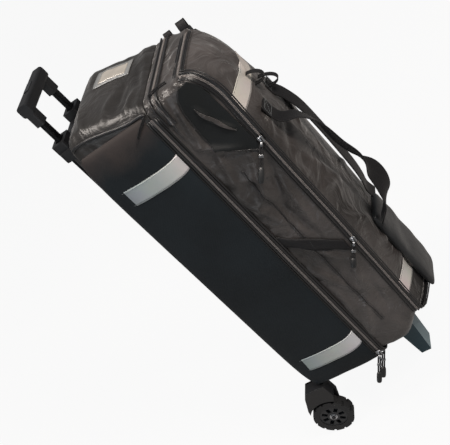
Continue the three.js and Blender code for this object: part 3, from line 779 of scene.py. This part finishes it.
# The ball zip's line: down the left side, under the bag and up the right side, in a plane of constant y.
ball_zip_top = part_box("ball_zip_case_tape")[1][2] / MM + 14
ball_zip_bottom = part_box("ball_zip_case_tape")[0][2] / MM
ball_zip_half = -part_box("ball_zip_case_tape")[0][0] / MM - 1.6


def ball_zip_line(y, lift, inset=0.0):
    radius = 22
    half = ball_zip_half - inset
    low = ball_zip_bottom + 1.6 + inset
    line = []
    for k in range(41):
        z = ball_zip_top - (ball_zip_top - low - radius) * k / 40
        line.append(((-half - lift, y, z), (-1, 0, 0)))
    for k in range(1, 9):
        a = math.pi / 2 * k / 8
        n = Vector((-math.cos(a), 0, -math.sin(a)))
        line.append((tuple(Vector((-half + radius, y, low + radius)) + n * (radius + lift)), tuple(n)))
    for k in range(1, 20):
        line.append(((-half + radius + 2 * (half - radius) * k / 20, y, low - lift), (0, 0, -1)))
    mirrored = [((-p[0], p[1], p[2]), (-n[0], n[1], n[2])) for p, n in line[:49]]
    return line + list(reversed(mirrored))


for part, body, sign, node_name in (("case", "case", 1, "ball_zip_case_tape"),
                                    ("lid", "shoe_section", -1, "ball_zip_lid_tape")):
    centre = ball_zip_line(zip_y + sign * 3.6, 0.0)
    strip = ribbon(f"ball_zip_{part}_tape_cloth", [p for p, n in centre], (0, 1, 0), 6.4, 1.0, binding, body,
                   "zip")
    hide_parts(node_name)
    for row, offset in (("inner", 6.4), ("outer", 11.4)):
        cord_mesh(f"ball_zip_{part}_piping_{row}",
                  [p for p, n in ball_zip_line(zip_y + sign * offset, 0.8, 0.8)],
                  2.6 if row == "inner" else 1.8, binding, body, "zip")
    along_lines(f"ball_zip_{part}_coil", [ball_zip_line(zip_y + sign * 1.1, 1.0)], COIL, coil_painted_glint, body)

# ---- Flap zip ---------------------------------------------------------------------------------------
# The flap's zip: along its left edge, across the upper end and along the bottom; the right edge is the fold
# that it swings on. One tape and one row of coil are sewn to the flap, the others to the section.
def flap_zip_line(offset, lift):
    line = []

    def put(point, normal, side):
        point, normal, side = Vector(point), Vector(normal).normalized(), Vector(side).normalized()
        line.append((tuple(point + side * offset + normal * lift), tuple(normal)))

    low = flap_low.z
    reach = front_reach(low, -1)
    for k in range(14):
        x = 98 - (98 + reach - 12) * k / 13
        put((x, flap_y(x, low), low - 1), (0, -0.3, -1), (0, 1, 0))
    for k in range(1, 6):
        a = math.pi / 2 * k / 6
        x = -reach + 12 - 13 * math.sin(a)
        put((x, flap_y(-reach, low), low + 12 - 13 * math.cos(a)), (-math.sin(a), -0.2, -math.cos(a)),
            (0, 1, 0))
    for k in range(96):
        v = 0.025 + 1.925 * k / 95
        z = flap_point(0, v)[2]
        turn = max(0.0, v - 1)
        point = Vector(flap_point(-front_reach(z, -1), v))
        normal = Vector((-1, -0.3, 0)) * (1 - turn) + Vector((-0.5, -0.2, 1)) * turn
        side = Vector((0, 1, 0)) * (1 - turn) + Vector((-0.8, 0.2, -0.35)) * turn
        put(point + Vector((-1, 0, 0)), normal, side)
    start = -front_reach(flap_end, -1)
    far = front_reach(flap_end, 1)
    for k in range(1, 7):
        a = k / 7
        x = start + 9 * a * a
        side = Vector((-0.8, 0.2, -0.35)) * (1 - a) + Vector((0, 1, 0)) * a
        put((x, wrap_back - 4 + 4 * a, flap_end + 1), (-0.3 * (1 - a), 0, 1), side)
    for k in range(20):
        x = start + 12 + (far - start - 14) * k / 19
        put(Vector(flap_point(x, 2)) + Vector((0, 1, 0.6)), (0, 0, 1), (0, 1, 0))
    return line


for part, body, sign in (("section", "shoe_section", 1), ("flap", "shoe_flap", -1)):
    inner, outer = flap_zip_line(sign * 0.6, 0.2), flap_zip_line(sign * 7.2, 0.2)
    middle = [(Vector(p) + Vector(q)) / 2 for (p, _), (q, _) in zip(inner, outer)]
    across = [Vector(q) - Vector(p) for (p, _), (q, _) in zip(inner, outer)]
    ribbon(f"flap_zip_{part}_tape_cloth", middle, across, 6.8, 1.0, binding, body, "zip")
    for row, offset, radius in (("inner", 7.0, 2.0), ("outer", 11.6, 1.4)):
        cord_mesh(f"flap_zip_{part}_piping_{row}", [p for p, n in flap_zip_line(sign * offset, 1.0)], radius,
                  binding, body, "zip")
    along_lines(f"flap_zip_{part}_coil", [flap_zip_line(sign * 1.1, 1.3)], COIL, coil_painted_glint, body)


# The zip of the shoe compartment's end pocket crosses the top wall and turns down its left side.
def end_zip_line(dy, lift):
    line = []
    centre = 6 + dy
    for k in range(10):
        line.append(((-gusset_x(centre, 850 + 3 * k) - lift, centre, 850 + 3 * k), (-1, 0, 0)))
    half = gusset_x(centre, 870)
    top = section_high.z + 3
    for k in range(1, 8):
        a = math.pi / 2 * k / 8
        line.append(((-half + 26 - (26 + lift) * math.cos(a), centre, top - 26 + (26 + lift) * math.sin(a)),
                     (-math.cos(a), 0, math.sin(a))))
    far = gusset_x(centre, 870, 1) - 22
    for k in range(24):
        x = -half + 26 + (far + half - 26) * k / 23
        line.append(((x, centre, top + 1.5 + lift), (0, 0, 1)))
    return line


ribbon("end_zip_tape", [p for p, n in end_zip_line(0, 0.6)], (0, 1, 0), 17, 1.2, binding, "shoe_section",
       "zip")
along_lines("end_zip_coil", [end_zip_line(-1.1, 1.9), end_zip_line(1.1, 1.9)], COIL, coil_painted_glint,
            "shoe_section")
for row, offset in (("front", -9.0), ("back", 9.0)):
    cord_mesh(f"end_zip_piping_{row}", [p for p, n in end_zip_line(offset, 1.4)], 2.2, binding,
              "shoe_section", "zip")


# ---- Gusset trim ------------------------------------------------------------------------------------
# On each gusset: a dark patch by the zips' meeting point, with a strip of lighter nylon on its crease as a
# painted highlight for the fold's sheen, a welted seam, and a sewn webbing band.
def on_gusset(y, z, lift, s=-1):
    return (s * (gusset_x(y, z, s) + lift), y, z)


# The patch's two edges, as (z, y) pairs from its foot to its top.
PATCH_BACK = [(702, -84), (730, -52), (761, -20), (800, -19), (855, -24), (880, -31), (896, -44)]
PATCH_FRONT = [(702, -86), (730, -84), (761, -83), (800, -81), (855, -77), (880, -72), (896, -62)]


# Straight-line reading of a table of (height, depth) pairs.
def read(table, z):
    for (z0, y0), (z1, y1) in zip(table, table[1:]):
        if z <= z1:
            return y0 + (y1 - y0) * max(0.0, z - z0) / (z1 - z0)
    return table[-1][1]


PATCH_CRESCENT = [((-44, 850), (-50, 805), 4, 5), ((-50, 808), (-72, 768), 4, 5)]
patch_foot, patch_top = PATCH_BACK[0][0], PATCH_BACK[-1][0]
BAND_WIDTH = 30
for side, s in (("left", -1), ("right", 1)):
    rows = []
    for i in range(98):
        z = patch_foot + (patch_top - patch_foot) * i / 97
        back, front = read(PATCH_BACK, z), read(PATCH_FRONT, z)
        across = [front + (back - front) * j / 45 for j in range(46)]
        rows.append([on_gusset(y, z, 3.0 + creases(y, z, PATCH_CRESCENT), s) for y in across])
    shell(f"stretch_patch_{side}", rows, dark_patch_cloth, "shoe_section", "side_panel", 1.4, flip=s < 0)
    # A lens-shaped strip of lighter nylon on the patch's crease: a painted highlight for the sheen along that
    # fold.
    rows = []
    for i in range(25):
        u = i / 24
        y, z = -43 - 29 * u ** 1.3, 850 - 84 * u
        width = 8 * math.sin(math.pi * u) + 0.4
        rows.append([on_gusset(y + width * (j / 6 - 0.5), z, 4.6 + creases(y, z, PATCH_CRESCENT), s)
                     for j in range(7)])
    shell(f"gusset_patch_painted_sheen_{side}", rows, nylon, "shoe_section", "side_panel", 1.2, flip=s > 0)
    edge = [on_gusset(read(PATCH_BACK, z), z, 2.8, s) for z in range(704, 897, 3)]
    cord_mesh(f"stretch_patch_edge_{side}", edge, 1.3, binding, "shoe_section", "fabric")
    seam = [on_gusset(-28 + 5 * math.sin((z - 240) / 160), z, 0.9, s) for z in range(230, 700, 8)]
    cord_mesh(f"gusset_seam_{side}", seam, 1.1, binding, "shoe_section", "fabric")
    along_lines(f"gusset_seam_stitches_{side}",
                [[((p[0] + s * 0.5, p[1] + d, p[2]), (s, 0, 0)) for p in seam] for d in (-4, 4)],
                STITCH, thread_material, "shoe_section")
    rows = []
    for i in range(5):
        rows.append([])
        for j in range(41):
            y = 28 - 108 * j / 40
            z = 525 - 97 * j / 40 + (i / 4 - 0.5) * BAND_WIDTH
            rows[-1].append(on_gusset(y, z, 3.0, s))
    shell(f"gusset_band_{side}", rows, webbing, "shoe_section", "webbing", 1.6, flip=s > 0)


# ---- Case end trim ----------------------------------------------------------------------------------
# A corded binding along both edges of the padded end, a card window on it, and webbing tabs at the zip ends.
def on_end(x, y, lift):
    return (x, y, end_top(end_share(y)) + end_relief(x, y) + lift)


for side, s in (("left", -1), ("right", 1)):
    edge = []
    for k in range(40):
        y = zip_y + 4 + (case_back - 6 - zip_y) * k / 39
        edge.append((s * (case_half + 0.6 - 3.5), y, end_top(end_share(y)) - 13))
    cord_mesh(f"end_binding_{side}", edge, 3.4, binding, "case", "fabric")
    along_lines(f"end_stitches_{side}", [[((s * (case_half - 14), p[1], p[2] + 10.5), (s * 0.5, 0, 1))
                                          for p in edge]],
                STITCH, thread_material, "case")

frame_plastic = plain_material("grey_vinyl_frame", "77797a", 0.35)
card_material, tree = new_material("clear_pvc_over_card")
place = node(tree, "ShaderNodeTexCoord")
clouds = node(tree, "ShaderNodeTexNoise", i0=(place, "Object"), Scale=30.0, Detail=2.0)
tone = node(tree, "ShaderNodeMix", {"data_type": "RGBA"}, i0=(clouds, "Fac"), i6=linear("8b8780"),
            i7=linear("b3aea6"))
card_face = node(tree, "ShaderNodeBsdfPrincipled", Base_Color=(tone, 2), Roughness=0.28)
card_face.inputs["Coat Weight"].default_value = 0.8
node(tree, "ShaderNodeOutputMaterial", Surface=(card_face, 0))
card_low, card_high = box_mm("card_frame")
window_low, window_high = box_mm("card_window")
for name, low, high, lift, material, cad in (
    ("card_border", card_low, card_high, 2.2, frame_plastic, "card_frame"),
    ("card_pane", window_low, window_high, 3.0, card_material, "card_window"),
):
    rows = [[on_end(low.x + (high.x - low.x) * j / 12, low.y + (high.y - low.y) * i / 12, lift)
             for j in range(13)] for i in range(13)]
    sheet_piece = shell(name, rows, material, "case", "window", 1.6)
    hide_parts(cad)


# A small webbing loop standing on a surface: from one foot over the top to the other.
def small_loop(name, foot, far_foot, rise, width, across, body):
    foot, far_foot, rise = Vector(foot), Vector(far_foot), Vector(rise)
    path = [foot + (far_foot - foot) * (0.5 - 0.5 * math.cos(math.pi * k / 12))
            + rise * math.sin(math.pi * k / 12) ** 0.8 for k in range(13)]
    return ribbon(name, path, across, width, 1.6, webbing, body, "webbing")


small_loop("zip_end_tab", (84, -42, 904), (104, -36, 896), (6, 0, 20), 20, (0, 1, 0), "shoe_section")
small_loop("pocket_zip_tab_front", (96, -2, 906), (110, 2, 898), (4, 0, 12), 16, (0, 1, 0), "shoe_section")
small_loop("flap_loop_upper", (-4, -112, 800), (-4, -113, 772), (0, -26, -4), 12, (1, 0, 0), "shoe_flap")
small_loop("flap_loop_lower", (34, -110, 764), (34, -112, 736), (0, -30, -6), 12, (1, 0, 0), "shoe_flap")


# ---- Carry loops and wrap -----------------------------------------------------------------------------
# Two loops of 38 mm webbing sewn to the flap. The left one stands up and turns half over; the right one lies
# low. A foam wrap is sewn to the flap below them.

# A smooth curve through points, with several steps between each two.
def smooth_path(points, steps=8):
    points = [Vector(p) for p in points]
    out = []
    for i in range(len(points) - 1):
        p0, p1, p2, p3 = points[max(i - 1, 0)], points[i], points[i + 1], points[min(i + 2, len(points) - 1)]
        for k in range(steps):
            t = k / steps
            out.append(0.5 * (2 * p1 + (p2 - p0) * t + (2 * p0 - 5 * p1 + 4 * p2 - p3) * t * t
                              + (3 * p1 - p0 - 3 * p2 + p3) * t ** 3))
    return out + [points[-1]]


loop_x = -(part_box("carry_strap_left")[0][0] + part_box("carry_strap_left")[1][0]) / 2 / MM
strap_width = (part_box("carry_strap_left")[1][0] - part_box("carry_strap_left")[0][0]) / MM
LEFT_LOOP = [(-45, -115, 752), (-45, -117, 726), (-45, -126, 706), (-46, -154, 692), (-48, -174, 657),
             (-48, -180, 601),
             (-46, -189, 554), (-44, -193, 497), (-44, -186, 455), (-45, -168, 425), (-46, -150, 405),
             (-45, -138, 392)]
LEFT_TURN = [(1, 0, 0), (1, 0, 0), (1, 0.1, 0), (1, 0.4, 0), (0.9, 0.55, 0), (0.8, 0.7, -0.2),
             (0.8, 0.6, -0.2),
             (0.7, -0.7, 0.1), (0.8, -0.6, 0), (1, 0, 0), (1, 0, 0), (1, 0, 0)]
RIGHT_LOOP = [(45, -112, 742), (45, -114, 722), (45, -124, 700), (45, -134, 660), (44, -137, 600),
              (44, -137, 540),
              (45, -135, 480), (45, -131, 445), (45, -126, 420), (45, -130, 396)]
left = ribbon("carry_loop_left", smooth_path(LEFT_LOOP), smooth_path(LEFT_TURN), strap_width, 2.4, webbing,
              "carry_strap_left", "webbing")
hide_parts("carry_strap_left")
right = ribbon("carry_loop_right", smooth_path(RIGHT_LOOP), (1, 0, 0), strap_width, 2.4, webbing,
               "carry_strap_right", "webbing")
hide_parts("carry_strap_right")
for side, s in (("left", -1), ("right", 1)):
    box_half = strap_width / 2 - 3
    y = -118.4 if side == "left" else -115.0
    corners = [(s * loop_x - box_half, 728), (s * loop_x + box_half, 728), (s * loop_x + box_half, 748),
               (s * loop_x - box_half, 748)]
    ring = [((x, y, z), (0, -1, 0)) for x, z in corners + corners[:1]]
    cross = [((corners[0][0], y, corners[0][1]), (0, -1, 0)), ((corners[2][0], y, corners[2][1]), (0, -1, 0))]
    along_lines(f"box_stitch_{side}", [ring, cross], STITCH, pale_thread, f"carry_strap_{side}")

# A number's power that keeps its sign, for rounded squares.
def signed_power(t, power):
    return (1 if t > 0 else -1) * abs(t) ** power


# The wrap that joins the two loops: a foam pad in smooth cloth.
wrap_low, wrap_high = box_mm("handle_wrap")
wrap_cloth = cloth_material("smooth_neoprene_cloth", "101316", "1c1f22", 0.42, 0.12, 0.35, 0.7, 7.0, 0.5)
wrap_middle = (wrap_low + wrap_high) / 2
wrap_half = (wrap_high - wrap_low) / 2
rows = []
for i in range(61):
    v = math.sin(math.pi / 2 * (i / 30 - 1))
    row = []
    for j in range(48):
        a = 2 * math.pi * j / 48
        ca, sa = math.cos(a), math.sin(a)
        end = max(0.0, 1 - abs(v) ** 7) ** 0.45
        x = wrap_half.x * 1.02 * signed_power(ca, 0.45) * (0.9 + 0.1 * end)
        y = (wrap_half.y + 3) * signed_power(sa, 0.55) * (0.25 + 0.75 * end)
        bulge = 2.2 * noise.noise(Vector((x / 40, y / 40, v * 3)))
        y += bulge * (-1 if sa < 0 else 0.3)
        row.append((wrap_middle.x + x, wrap_middle.y - 2 + y, wrap_middle.z + wrap_half.z * v))
    rows.append(row)
flat = [p for row in rows for p in row]
faces = [tuple(reversed(f)) for f in grid_faces(61, 48, True)]
faces += [tuple(range(48)), tuple(reversed(range(len(flat) - 48, len(flat))))]
wrap = piece("handle_wrap_pad", flat, faces, wrap_cloth, "shoe_flap", "webbing")
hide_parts("handle_wrap")


# ---- Sliders and pulls --------------------------------------------------------------------------------
# Cast zip sliders with a bridge and a puller bar; each pull is a doubled cord with a moulded rubber end.
# A small metal clip grips both cords.
slider_metal = plain_material("black_nickel", "8d8f92", 0.3, 1.0)
rubber = plain_material("moulded_rubber", "16181a", 0.38)


# Joins several pieces into the first.
def joined(first, *others):
    bpy.ops.object.select_all(action="DESELECT")
    for made in (first, *others):
        made.select_set(True)
    bpy.context.view_layer.objects.active = first
    bpy.ops.object.join()
    return first


# A rounded block from its centre, three directions and three half sizes.
def block(name, centre, directions, halves, material, body=None, slot=None, steps=6, power=0.5):
    centre = Vector(centre)
    u, v, w = (Vector(d) for d in directions)
    points = [centre - w * halves[2]]
    rings = 8
    around = steps * 4
    for i in range(1, rings):
        b = math.pi * i / rings - math.pi / 2
        for j in range(around):
            a = 2 * math.pi * j / around
            ca, sa, cb, sb = math.cos(a), math.sin(a), math.cos(b), math.sin(b)
            p = u * halves[0] * signed_power(ca, power) * abs(cb) ** power
            p += v * halves[1] * signed_power(sa, power) * abs(cb) ** power
            p += w * halves[2] * signed_power(sb, power)
            points.append(centre + p)
    points.append(centre + w * halves[2])
    faces = [(0, 1 + (j + 1) % around, 1 + j) for j in range(around)]
    for i in range(rings - 2):
        for j in range(around):
            k = (j + 1) % around
            this_ring, next_ring = 1 + i * around, 1 + (i + 1) * around
            faces.append((this_ring + j, this_ring + k, next_ring + k, next_ring + j))
    last = len(points) - 1
    base = 1 + (rings - 2) * around
    faces += [(last, base + j, base + (j + 1) % around) for j in range(around)]
    return piece(name, points, faces, material, body, slot)


HANG = Vector((-0.64, 0.45, -0.62)).normalized()  # the way a pull hangs as the bag is wheeled along
PULL_SCALE = 1.2  # a pull with its rubber end is this much longer than its plain solid
for name, along, outward, length in (
    ("ball_zip_left", (0, 0, 1), (-1, 0, 0), 46), ("ball_zip_right", (1, 0, 0), (0, 0, -1), 46),
    ("shoe_zip_upper", (0, 0, 1), (-1, 0, 0), 60), ("shoe_zip_lower", (0, 0, 1), (-1, 0, 0), 40),
):
    low, high = box_mm(f"{name}_slider")
    centre = (low + high) / 2
    along, outward = Vector(along), Vector(outward)
    across = outward.cross(along)
    body = f"{name}_slider"
    shell_low = block(f"{name}_slider_body", centre - outward * 0.6, (along, across, outward),
                      (7.5, 5.2, 2.0), slider_metal, body, "steel")
    nose = block("nose", centre + along * 4.5 - outward * 0.4, (along, across, outward), (3.6, 6.2, 2.2),
                 slider_metal)
    bridge_path = [centre + along * (6 * math.cos(math.pi * k / 10))
                   + outward * (1.0 + 3.6 * math.sin(math.pi * k / 10)) for k in range(11)]
    bridge = ribbon("bridge", bridge_path, across, 2.6, 1.2, slider_metal, None, None)
    bridge.modifiers.clear()
    puller_start = centre + outward * 3.2 + HANG * 2
    puller = ribbon("puller", [puller_start + HANG * (k * 3.0) for k in range(4)], (0.3, 0.8, 0.3), 4.6, 1.2,
                    slider_metal, None, None)
    puller.modifiers.clear()
    made = joined(shell_low, nose, bridge, puller)
    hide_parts(f"{name}_slider")
    start = centre + HANG * 8.2
    length *= PULL_SCALE
    side = HANG.orthogonal().normalized()
    run = [start + HANG * (length * 0.7 * k / 8) for k in range(9)]
    cord = cord_mesh(f"{name}_cord", [p + side * 2.2 for p in run], 1.9, webbing, f"{name}_pull", "webbing")
    second = cord_mesh("second", [p - side * 2.2 for p in run], 1.9, webbing, None, None)
    axes = (side, HANG.cross(side), HANG)
    knob = block("end", start + HANG * (length * 0.78), axes, (5.6, 3.4, length * 0.22), rubber, power=0.6)
    clip = block("clip", start + HANG * (length * 0.3), axes, (4.8, 2.6, 3.0), slider_metal, power=0.4)
    pull = joined(cord, second, knob, clip)
    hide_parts(f"{name}_pull")

# Two more pulls lie on the case, at the near end of the end zip and of the ball zip.
for name, points, body in (
    ("end_zip_pull", [(-124, -40, 922), (-131, -22, 925), (-134, -2, 922)], "shoe_section"),
    ("ball_zip_end_pull", [(-134, 34, 893), (-141, 50, 884), (-147, 66, 872)], "case"),
):
    path = smooth_path(points)
    first = cord_mesh(name, [p + Vector((0, 0, 1.8)) for p in path], 1.5, webbing, body, "webbing")
    second = cord_mesh("second", [p - Vector((0, 0, 1.8)) for p in path], 1.5, webbing, None, None)
    joined(first, second)


# ---- Hard parts ---------------------------------------------------------------------------------------
# Moulded, extruded and pressed parts keep their own shapes, with broken edges and their real finishes; the
# wheel housings, the tray and the tubes' cover are made afresh.
def hard_material(name, colour, roughness, metallic=0.0, grain_mm=0.6, grain=0.25, second=None):
    material, tree = new_material(name)
    place = node(tree, "ShaderNodeTexCoord")
    speck = node(tree, "ShaderNodeTexNoise", i0=(place, "Object"), Scale=1 / (grain_mm * MM), Detail=1.0)
    scuffs = node(tree, "ShaderNodeTexNoise", i0=(place, "Object"), Scale=24.0, Detail=5.0)
    tone = node(tree, "ShaderNodeMix", {"data_type": "RGBA"}, i0=(scuffs, "Fac"), i6=linear(colour),
                i7=linear(second or colour))
    gloss = node(tree, "ShaderNodeMapRange", i0=(scuffs, "Fac"), i1=0.3, i2=0.7, i3=roughness - 0.06,
                 i4=roughness + 0.08)
    relief = node(tree, "ShaderNodeBump", Strength=grain, Distance=0.0002, Height=(speck, "Fac"))
    shader = node(tree, "ShaderNodeBsdfPrincipled", Base_Color=(tone, 2), Roughness=(gloss, 0),
                  Metallic=metallic, Normal=(relief, 0))
    node(tree, "ShaderNodeOutputMaterial", Surface=(shader, 0))
    return material


# A flat outline pushed along an axis, with broken edges: "x" takes (y, z) points and "z" takes (x, y) points.
def pushed(name, outline, axis, start, end, material, edge, body=None, slot=None):
    place = (lambda p, d: (d, p[0], p[1])) if axis == "x" else (lambda p, d: (p[0], p[1], d))
    points = [place(p, start) for p in outline] + [place(p, end) for p in outline]
    n = len(outline)
    area = sum(outline[i][0] * outline[(i + 1) % n][1] - outline[(i + 1) % n][0] * outline[i][1]
               for i in range(n))
    forward = (area > 0) == (end > start)
    faces = [tuple(range(n)), tuple(range(n, 2 * n))]
    faces = [tuple(reversed(faces[0])), faces[1]] if forward else [faces[0], tuple(reversed(faces[1]))]
    for i in range(n):
        k = (i + 1) % n
        face = (i, k, n + k, n + i)
        faces.append(face if forward else tuple(reversed(face)))
    made = piece(name, points, faces, material, body, slot, smooth=False)
    broken = made.modifiers.new("broken edge", "BEVEL")
    broken.width = edge * MM
    broken.segments = 3
    broken.limit_method = "ANGLE"
    broken.angle_limit = 0.5
    return made


# Applies a piece's modifiers, so that it can be joined to another.
def applied(made):
    plain = bpy.data.meshes.new_from_object(made.evaluated_get(bpy.context.evaluated_depsgraph_get()))
    made.modifiers.clear()
    made.data = plain
    return made


# The foot's front face is painted paler than its sides: painted light where it faces the lamps.
foot_plastic_lit_front, tree = new_material("grey_polypropylene_foot_painted_light")
normal = node(tree, "ShaderNodeNewGeometry")
facing = node(tree, "ShaderNodeSeparateXYZ", i0=(normal, "Normal"))
front = node(tree, "ShaderNodeMapRange", i0=(facing, "Y"), i1=-0.2, i2=-0.9, i3=0.0, i4=1.0)
tone = node(tree, "ShaderNodeMix", {"data_type": "RGBA"}, i0=(front, 0), i6=linear("2a3f47"),
            i7=linear("7d9199"))
foot_shader = node(tree, "ShaderNodeBsdfPrincipled", Base_Color=(tone, 2), Roughness=0.45)
node(tree, "ShaderNodeOutputMaterial", Surface=(foot_shader, 0))

plastic = hard_material("black_polypropylene", "0d0e10", 0.42, second="17181b")
tube_finish = hard_material("black_anodised_aluminium", "131417", 0.3, 0.6, 0.4, 0.08)
tyre_rubber = hard_material("polyurethane_tyre", "0e0f11", 0.62, second="1a1b1d")
hub_plastic = hard_material("grey_nylon_hub", "1b1d20", 0.4, second="25282b")
bright_steel = hard_material("zinc_plated_steel", "b9bcc0", 0.28, 1.0, 0.5, 0.05)
board_finish = hard_material("black_pe_board", "18191b", 0.55, second="202124")
foam_finish = hard_material("charcoal_foam", "2b2d30", 0.95, 0.0, 1.4, 0.9, "35373a")
# Wheel housings: a fender close over the tyre and a cheek on its inner side, in one moulding.
for side, s in (("left", -1), ("right", 1)):
    tyre_low, tyre_high = box_mm(f"tyre_{side}")
    wheel = (tyre_low + tyre_high) / 2
    radius = (tyre_high.z - tyre_low.z) / 2
    inside = min(abs(tyre_low.x), abs(tyre_high.x)) - 2
    outside = max(abs(tyre_low.x), abs(tyre_high.x)) - 1
    fender_radius = radius + 5
    angles = [math.radians(a) for a in range(36, 131, 6)]
    arch = [(wheel.y + fender_radius * math.cos(a), wheel.z + fender_radius * math.sin(a)) for a in angles]
    roof = case_bottom - 0.4
    fender = [(wheel.y - 38, roof), (wheel.y - 40, wheel.z + 58), *reversed(arch),
              (wheel.y + 38, wheel.z + 44), (wheel.y + 20, roof - 14), (wheel.y + 10, roof)]
    cheek = [(wheel.y - 40, roof), (wheel.y - 42, wheel.z + 50), (wheel.y - 18, wheel.z - 12),
             (wheel.y + 16, wheel.z - 12),
             (wheel.y + 28, wheel.z + 20), (wheel.y + 20, roof - 14), (wheel.y + 10, roof)]
    first = applied(pushed(f"wheel_housing_{side}_moulding", fender, "x", s * (inside - 7), s * outside,
                           plastic, 2.5, "case", "plastic"))
    second = applied(pushed("cheek", cheek, "x", s * (inside - 8), s * inside, plastic, 2.0))
    housing = joined(first, second)
    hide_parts(f"wheel_housing_{side}")
    block(f"axle_cap_{side}", (s * (outside + 3.6), wheel.y, wheel.z), ((0, 1, 0), (0, 0, 1), (1, 0, 0)),
          (4.6, 4.6, 1.2), plastic, "case", "plastic", power=1.0)

# The moulded tray under the case, with a raised seat for the tubes, and the padded cover round the tubes.
tray_low = Vector(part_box("base_tray")[0]) / MM
tube_low, tube_high = Vector(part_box("outer_tube_left")[0]) / MM, Vector(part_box("outer_tube_right")[1]) / MM
tray_half = case_half + 2
plate = [(-tray_half, tray_low.y), (tray_half, tray_low.y), (tray_half, case_back - 6),
         (tray_half - 8, case_back + 4),
         (-tray_half + 8, case_back + 4), (-tray_half, case_back - 6)]
seat = [(-74, case_back - 4), (74, case_back - 4), (72, tube_high.y - 12), (60, tube_high.y + 2),
        (-60, tube_high.y + 2), (-72, tube_high.y - 12)]
plate_piece = applied(pushed("base_tray_moulding", plate, "z", case_bottom, case_bottom + 10, plastic, 2.5,
                             "case", "plastic"))
seat_piece = applied(pushed("seat", seat, "z", case_bottom + 2, tube_low.z - 0.5, plastic, 2.0))
ribs = []
for x in (-96, -72, -48, 48, 72, 96):
    front, back = tray_low.y + 30, case_back - 12
    outline = [(x - 2, front), (x + 2, front), (x + 2, back), (x - 2, back)]
    ribs.append(applied(pushed("rib", outline, "z", case_bottom - 2.5, case_bottom + 2, plastic, 0.8)))
tray = joined(plate_piece, seat_piece, *ribs)
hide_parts("base_tray")
cover_low, cover_high = box_mm("trolley_cover")
COVER_HALF = 76
rows = []
for i in range(61):
    z = cover_low.z + 1 + (cover_high.z - cover_low.z - 2) * i / 60
    row = []
    for k in range(49):
        a = math.pi * k / 48
        ca, sa = math.cos(a), math.sin(a)
        x = -COVER_HALF * signed_power(ca, 0.4)
        y = case_back + 5 + (tube_high.y + 3 - case_back - 5) * sa ** 0.45
        row.append((x, y + 0.8 * folds(x, y, z, 2.0, (0.6, 1, 0.7), 60, 41.0) * sa, z))
    rows.append(row)
cover = shell("trolley_cover_cloth", rows, nylon, "case", "fabric", 1.5, flip=True)
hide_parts("trolley_cover")
HEM_X = 86
for side, s in (("left", -1), ("right", 1)):
    hem = [(s * HEM_X, case_back + 2.2, cover_low.z + (cover_high.z - cover_low.z) * k / 40)
           for k in range(41)]
    ribbon(f"cover_hem_{side}", hem, (1, 0, 0), 22, 2.0, binding, "case", "fabric")

# The finish of each piece that keeps its own solid, by the start of its name, and how far its edges are cut.
FINISHES = {
    "handle_housing": (plastic, 1.4), "grip": (plastic, 2.0),
    "release_button": (hub_plastic, 0.8), "tyre": (tyre_rubber, 0.7), "hub": (hub_plastic, 0.7),
    "bearing": (bright_steel, 0.4),
    "axle_bolt": (bright_steel, 0.5), "outer_tube": (tube_finish, 0), "middle_tube": (tube_finish, 0),
    "inner_tube": (tube_finish, 0),
    "front_foot": (foot_plastic_lit_front, 1.6), "back_board": (board_finish, 0.8), "shoe_floor": (board_finish, 0.8),
    "foam_ball_bed": (foam_finish, 0),
    "ball_divider": (foam_finish, 1.0), "case_floor": (nylon, 0.8),
}
for name, cad_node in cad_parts.items():
    for start, (material, edge) in FINISHES.items():
        if name.startswith(start):
            for material_slot in cad_node.material_slots:
                material_slot.material = material
            if edge:
                soft = cad_node.modifiers.new("broken edge", "BEVEL")
                soft.width = edge * MM
                soft.segments = 2
                soft.limit_method = "ANGLE"
                soft.angle_limit = 0.6
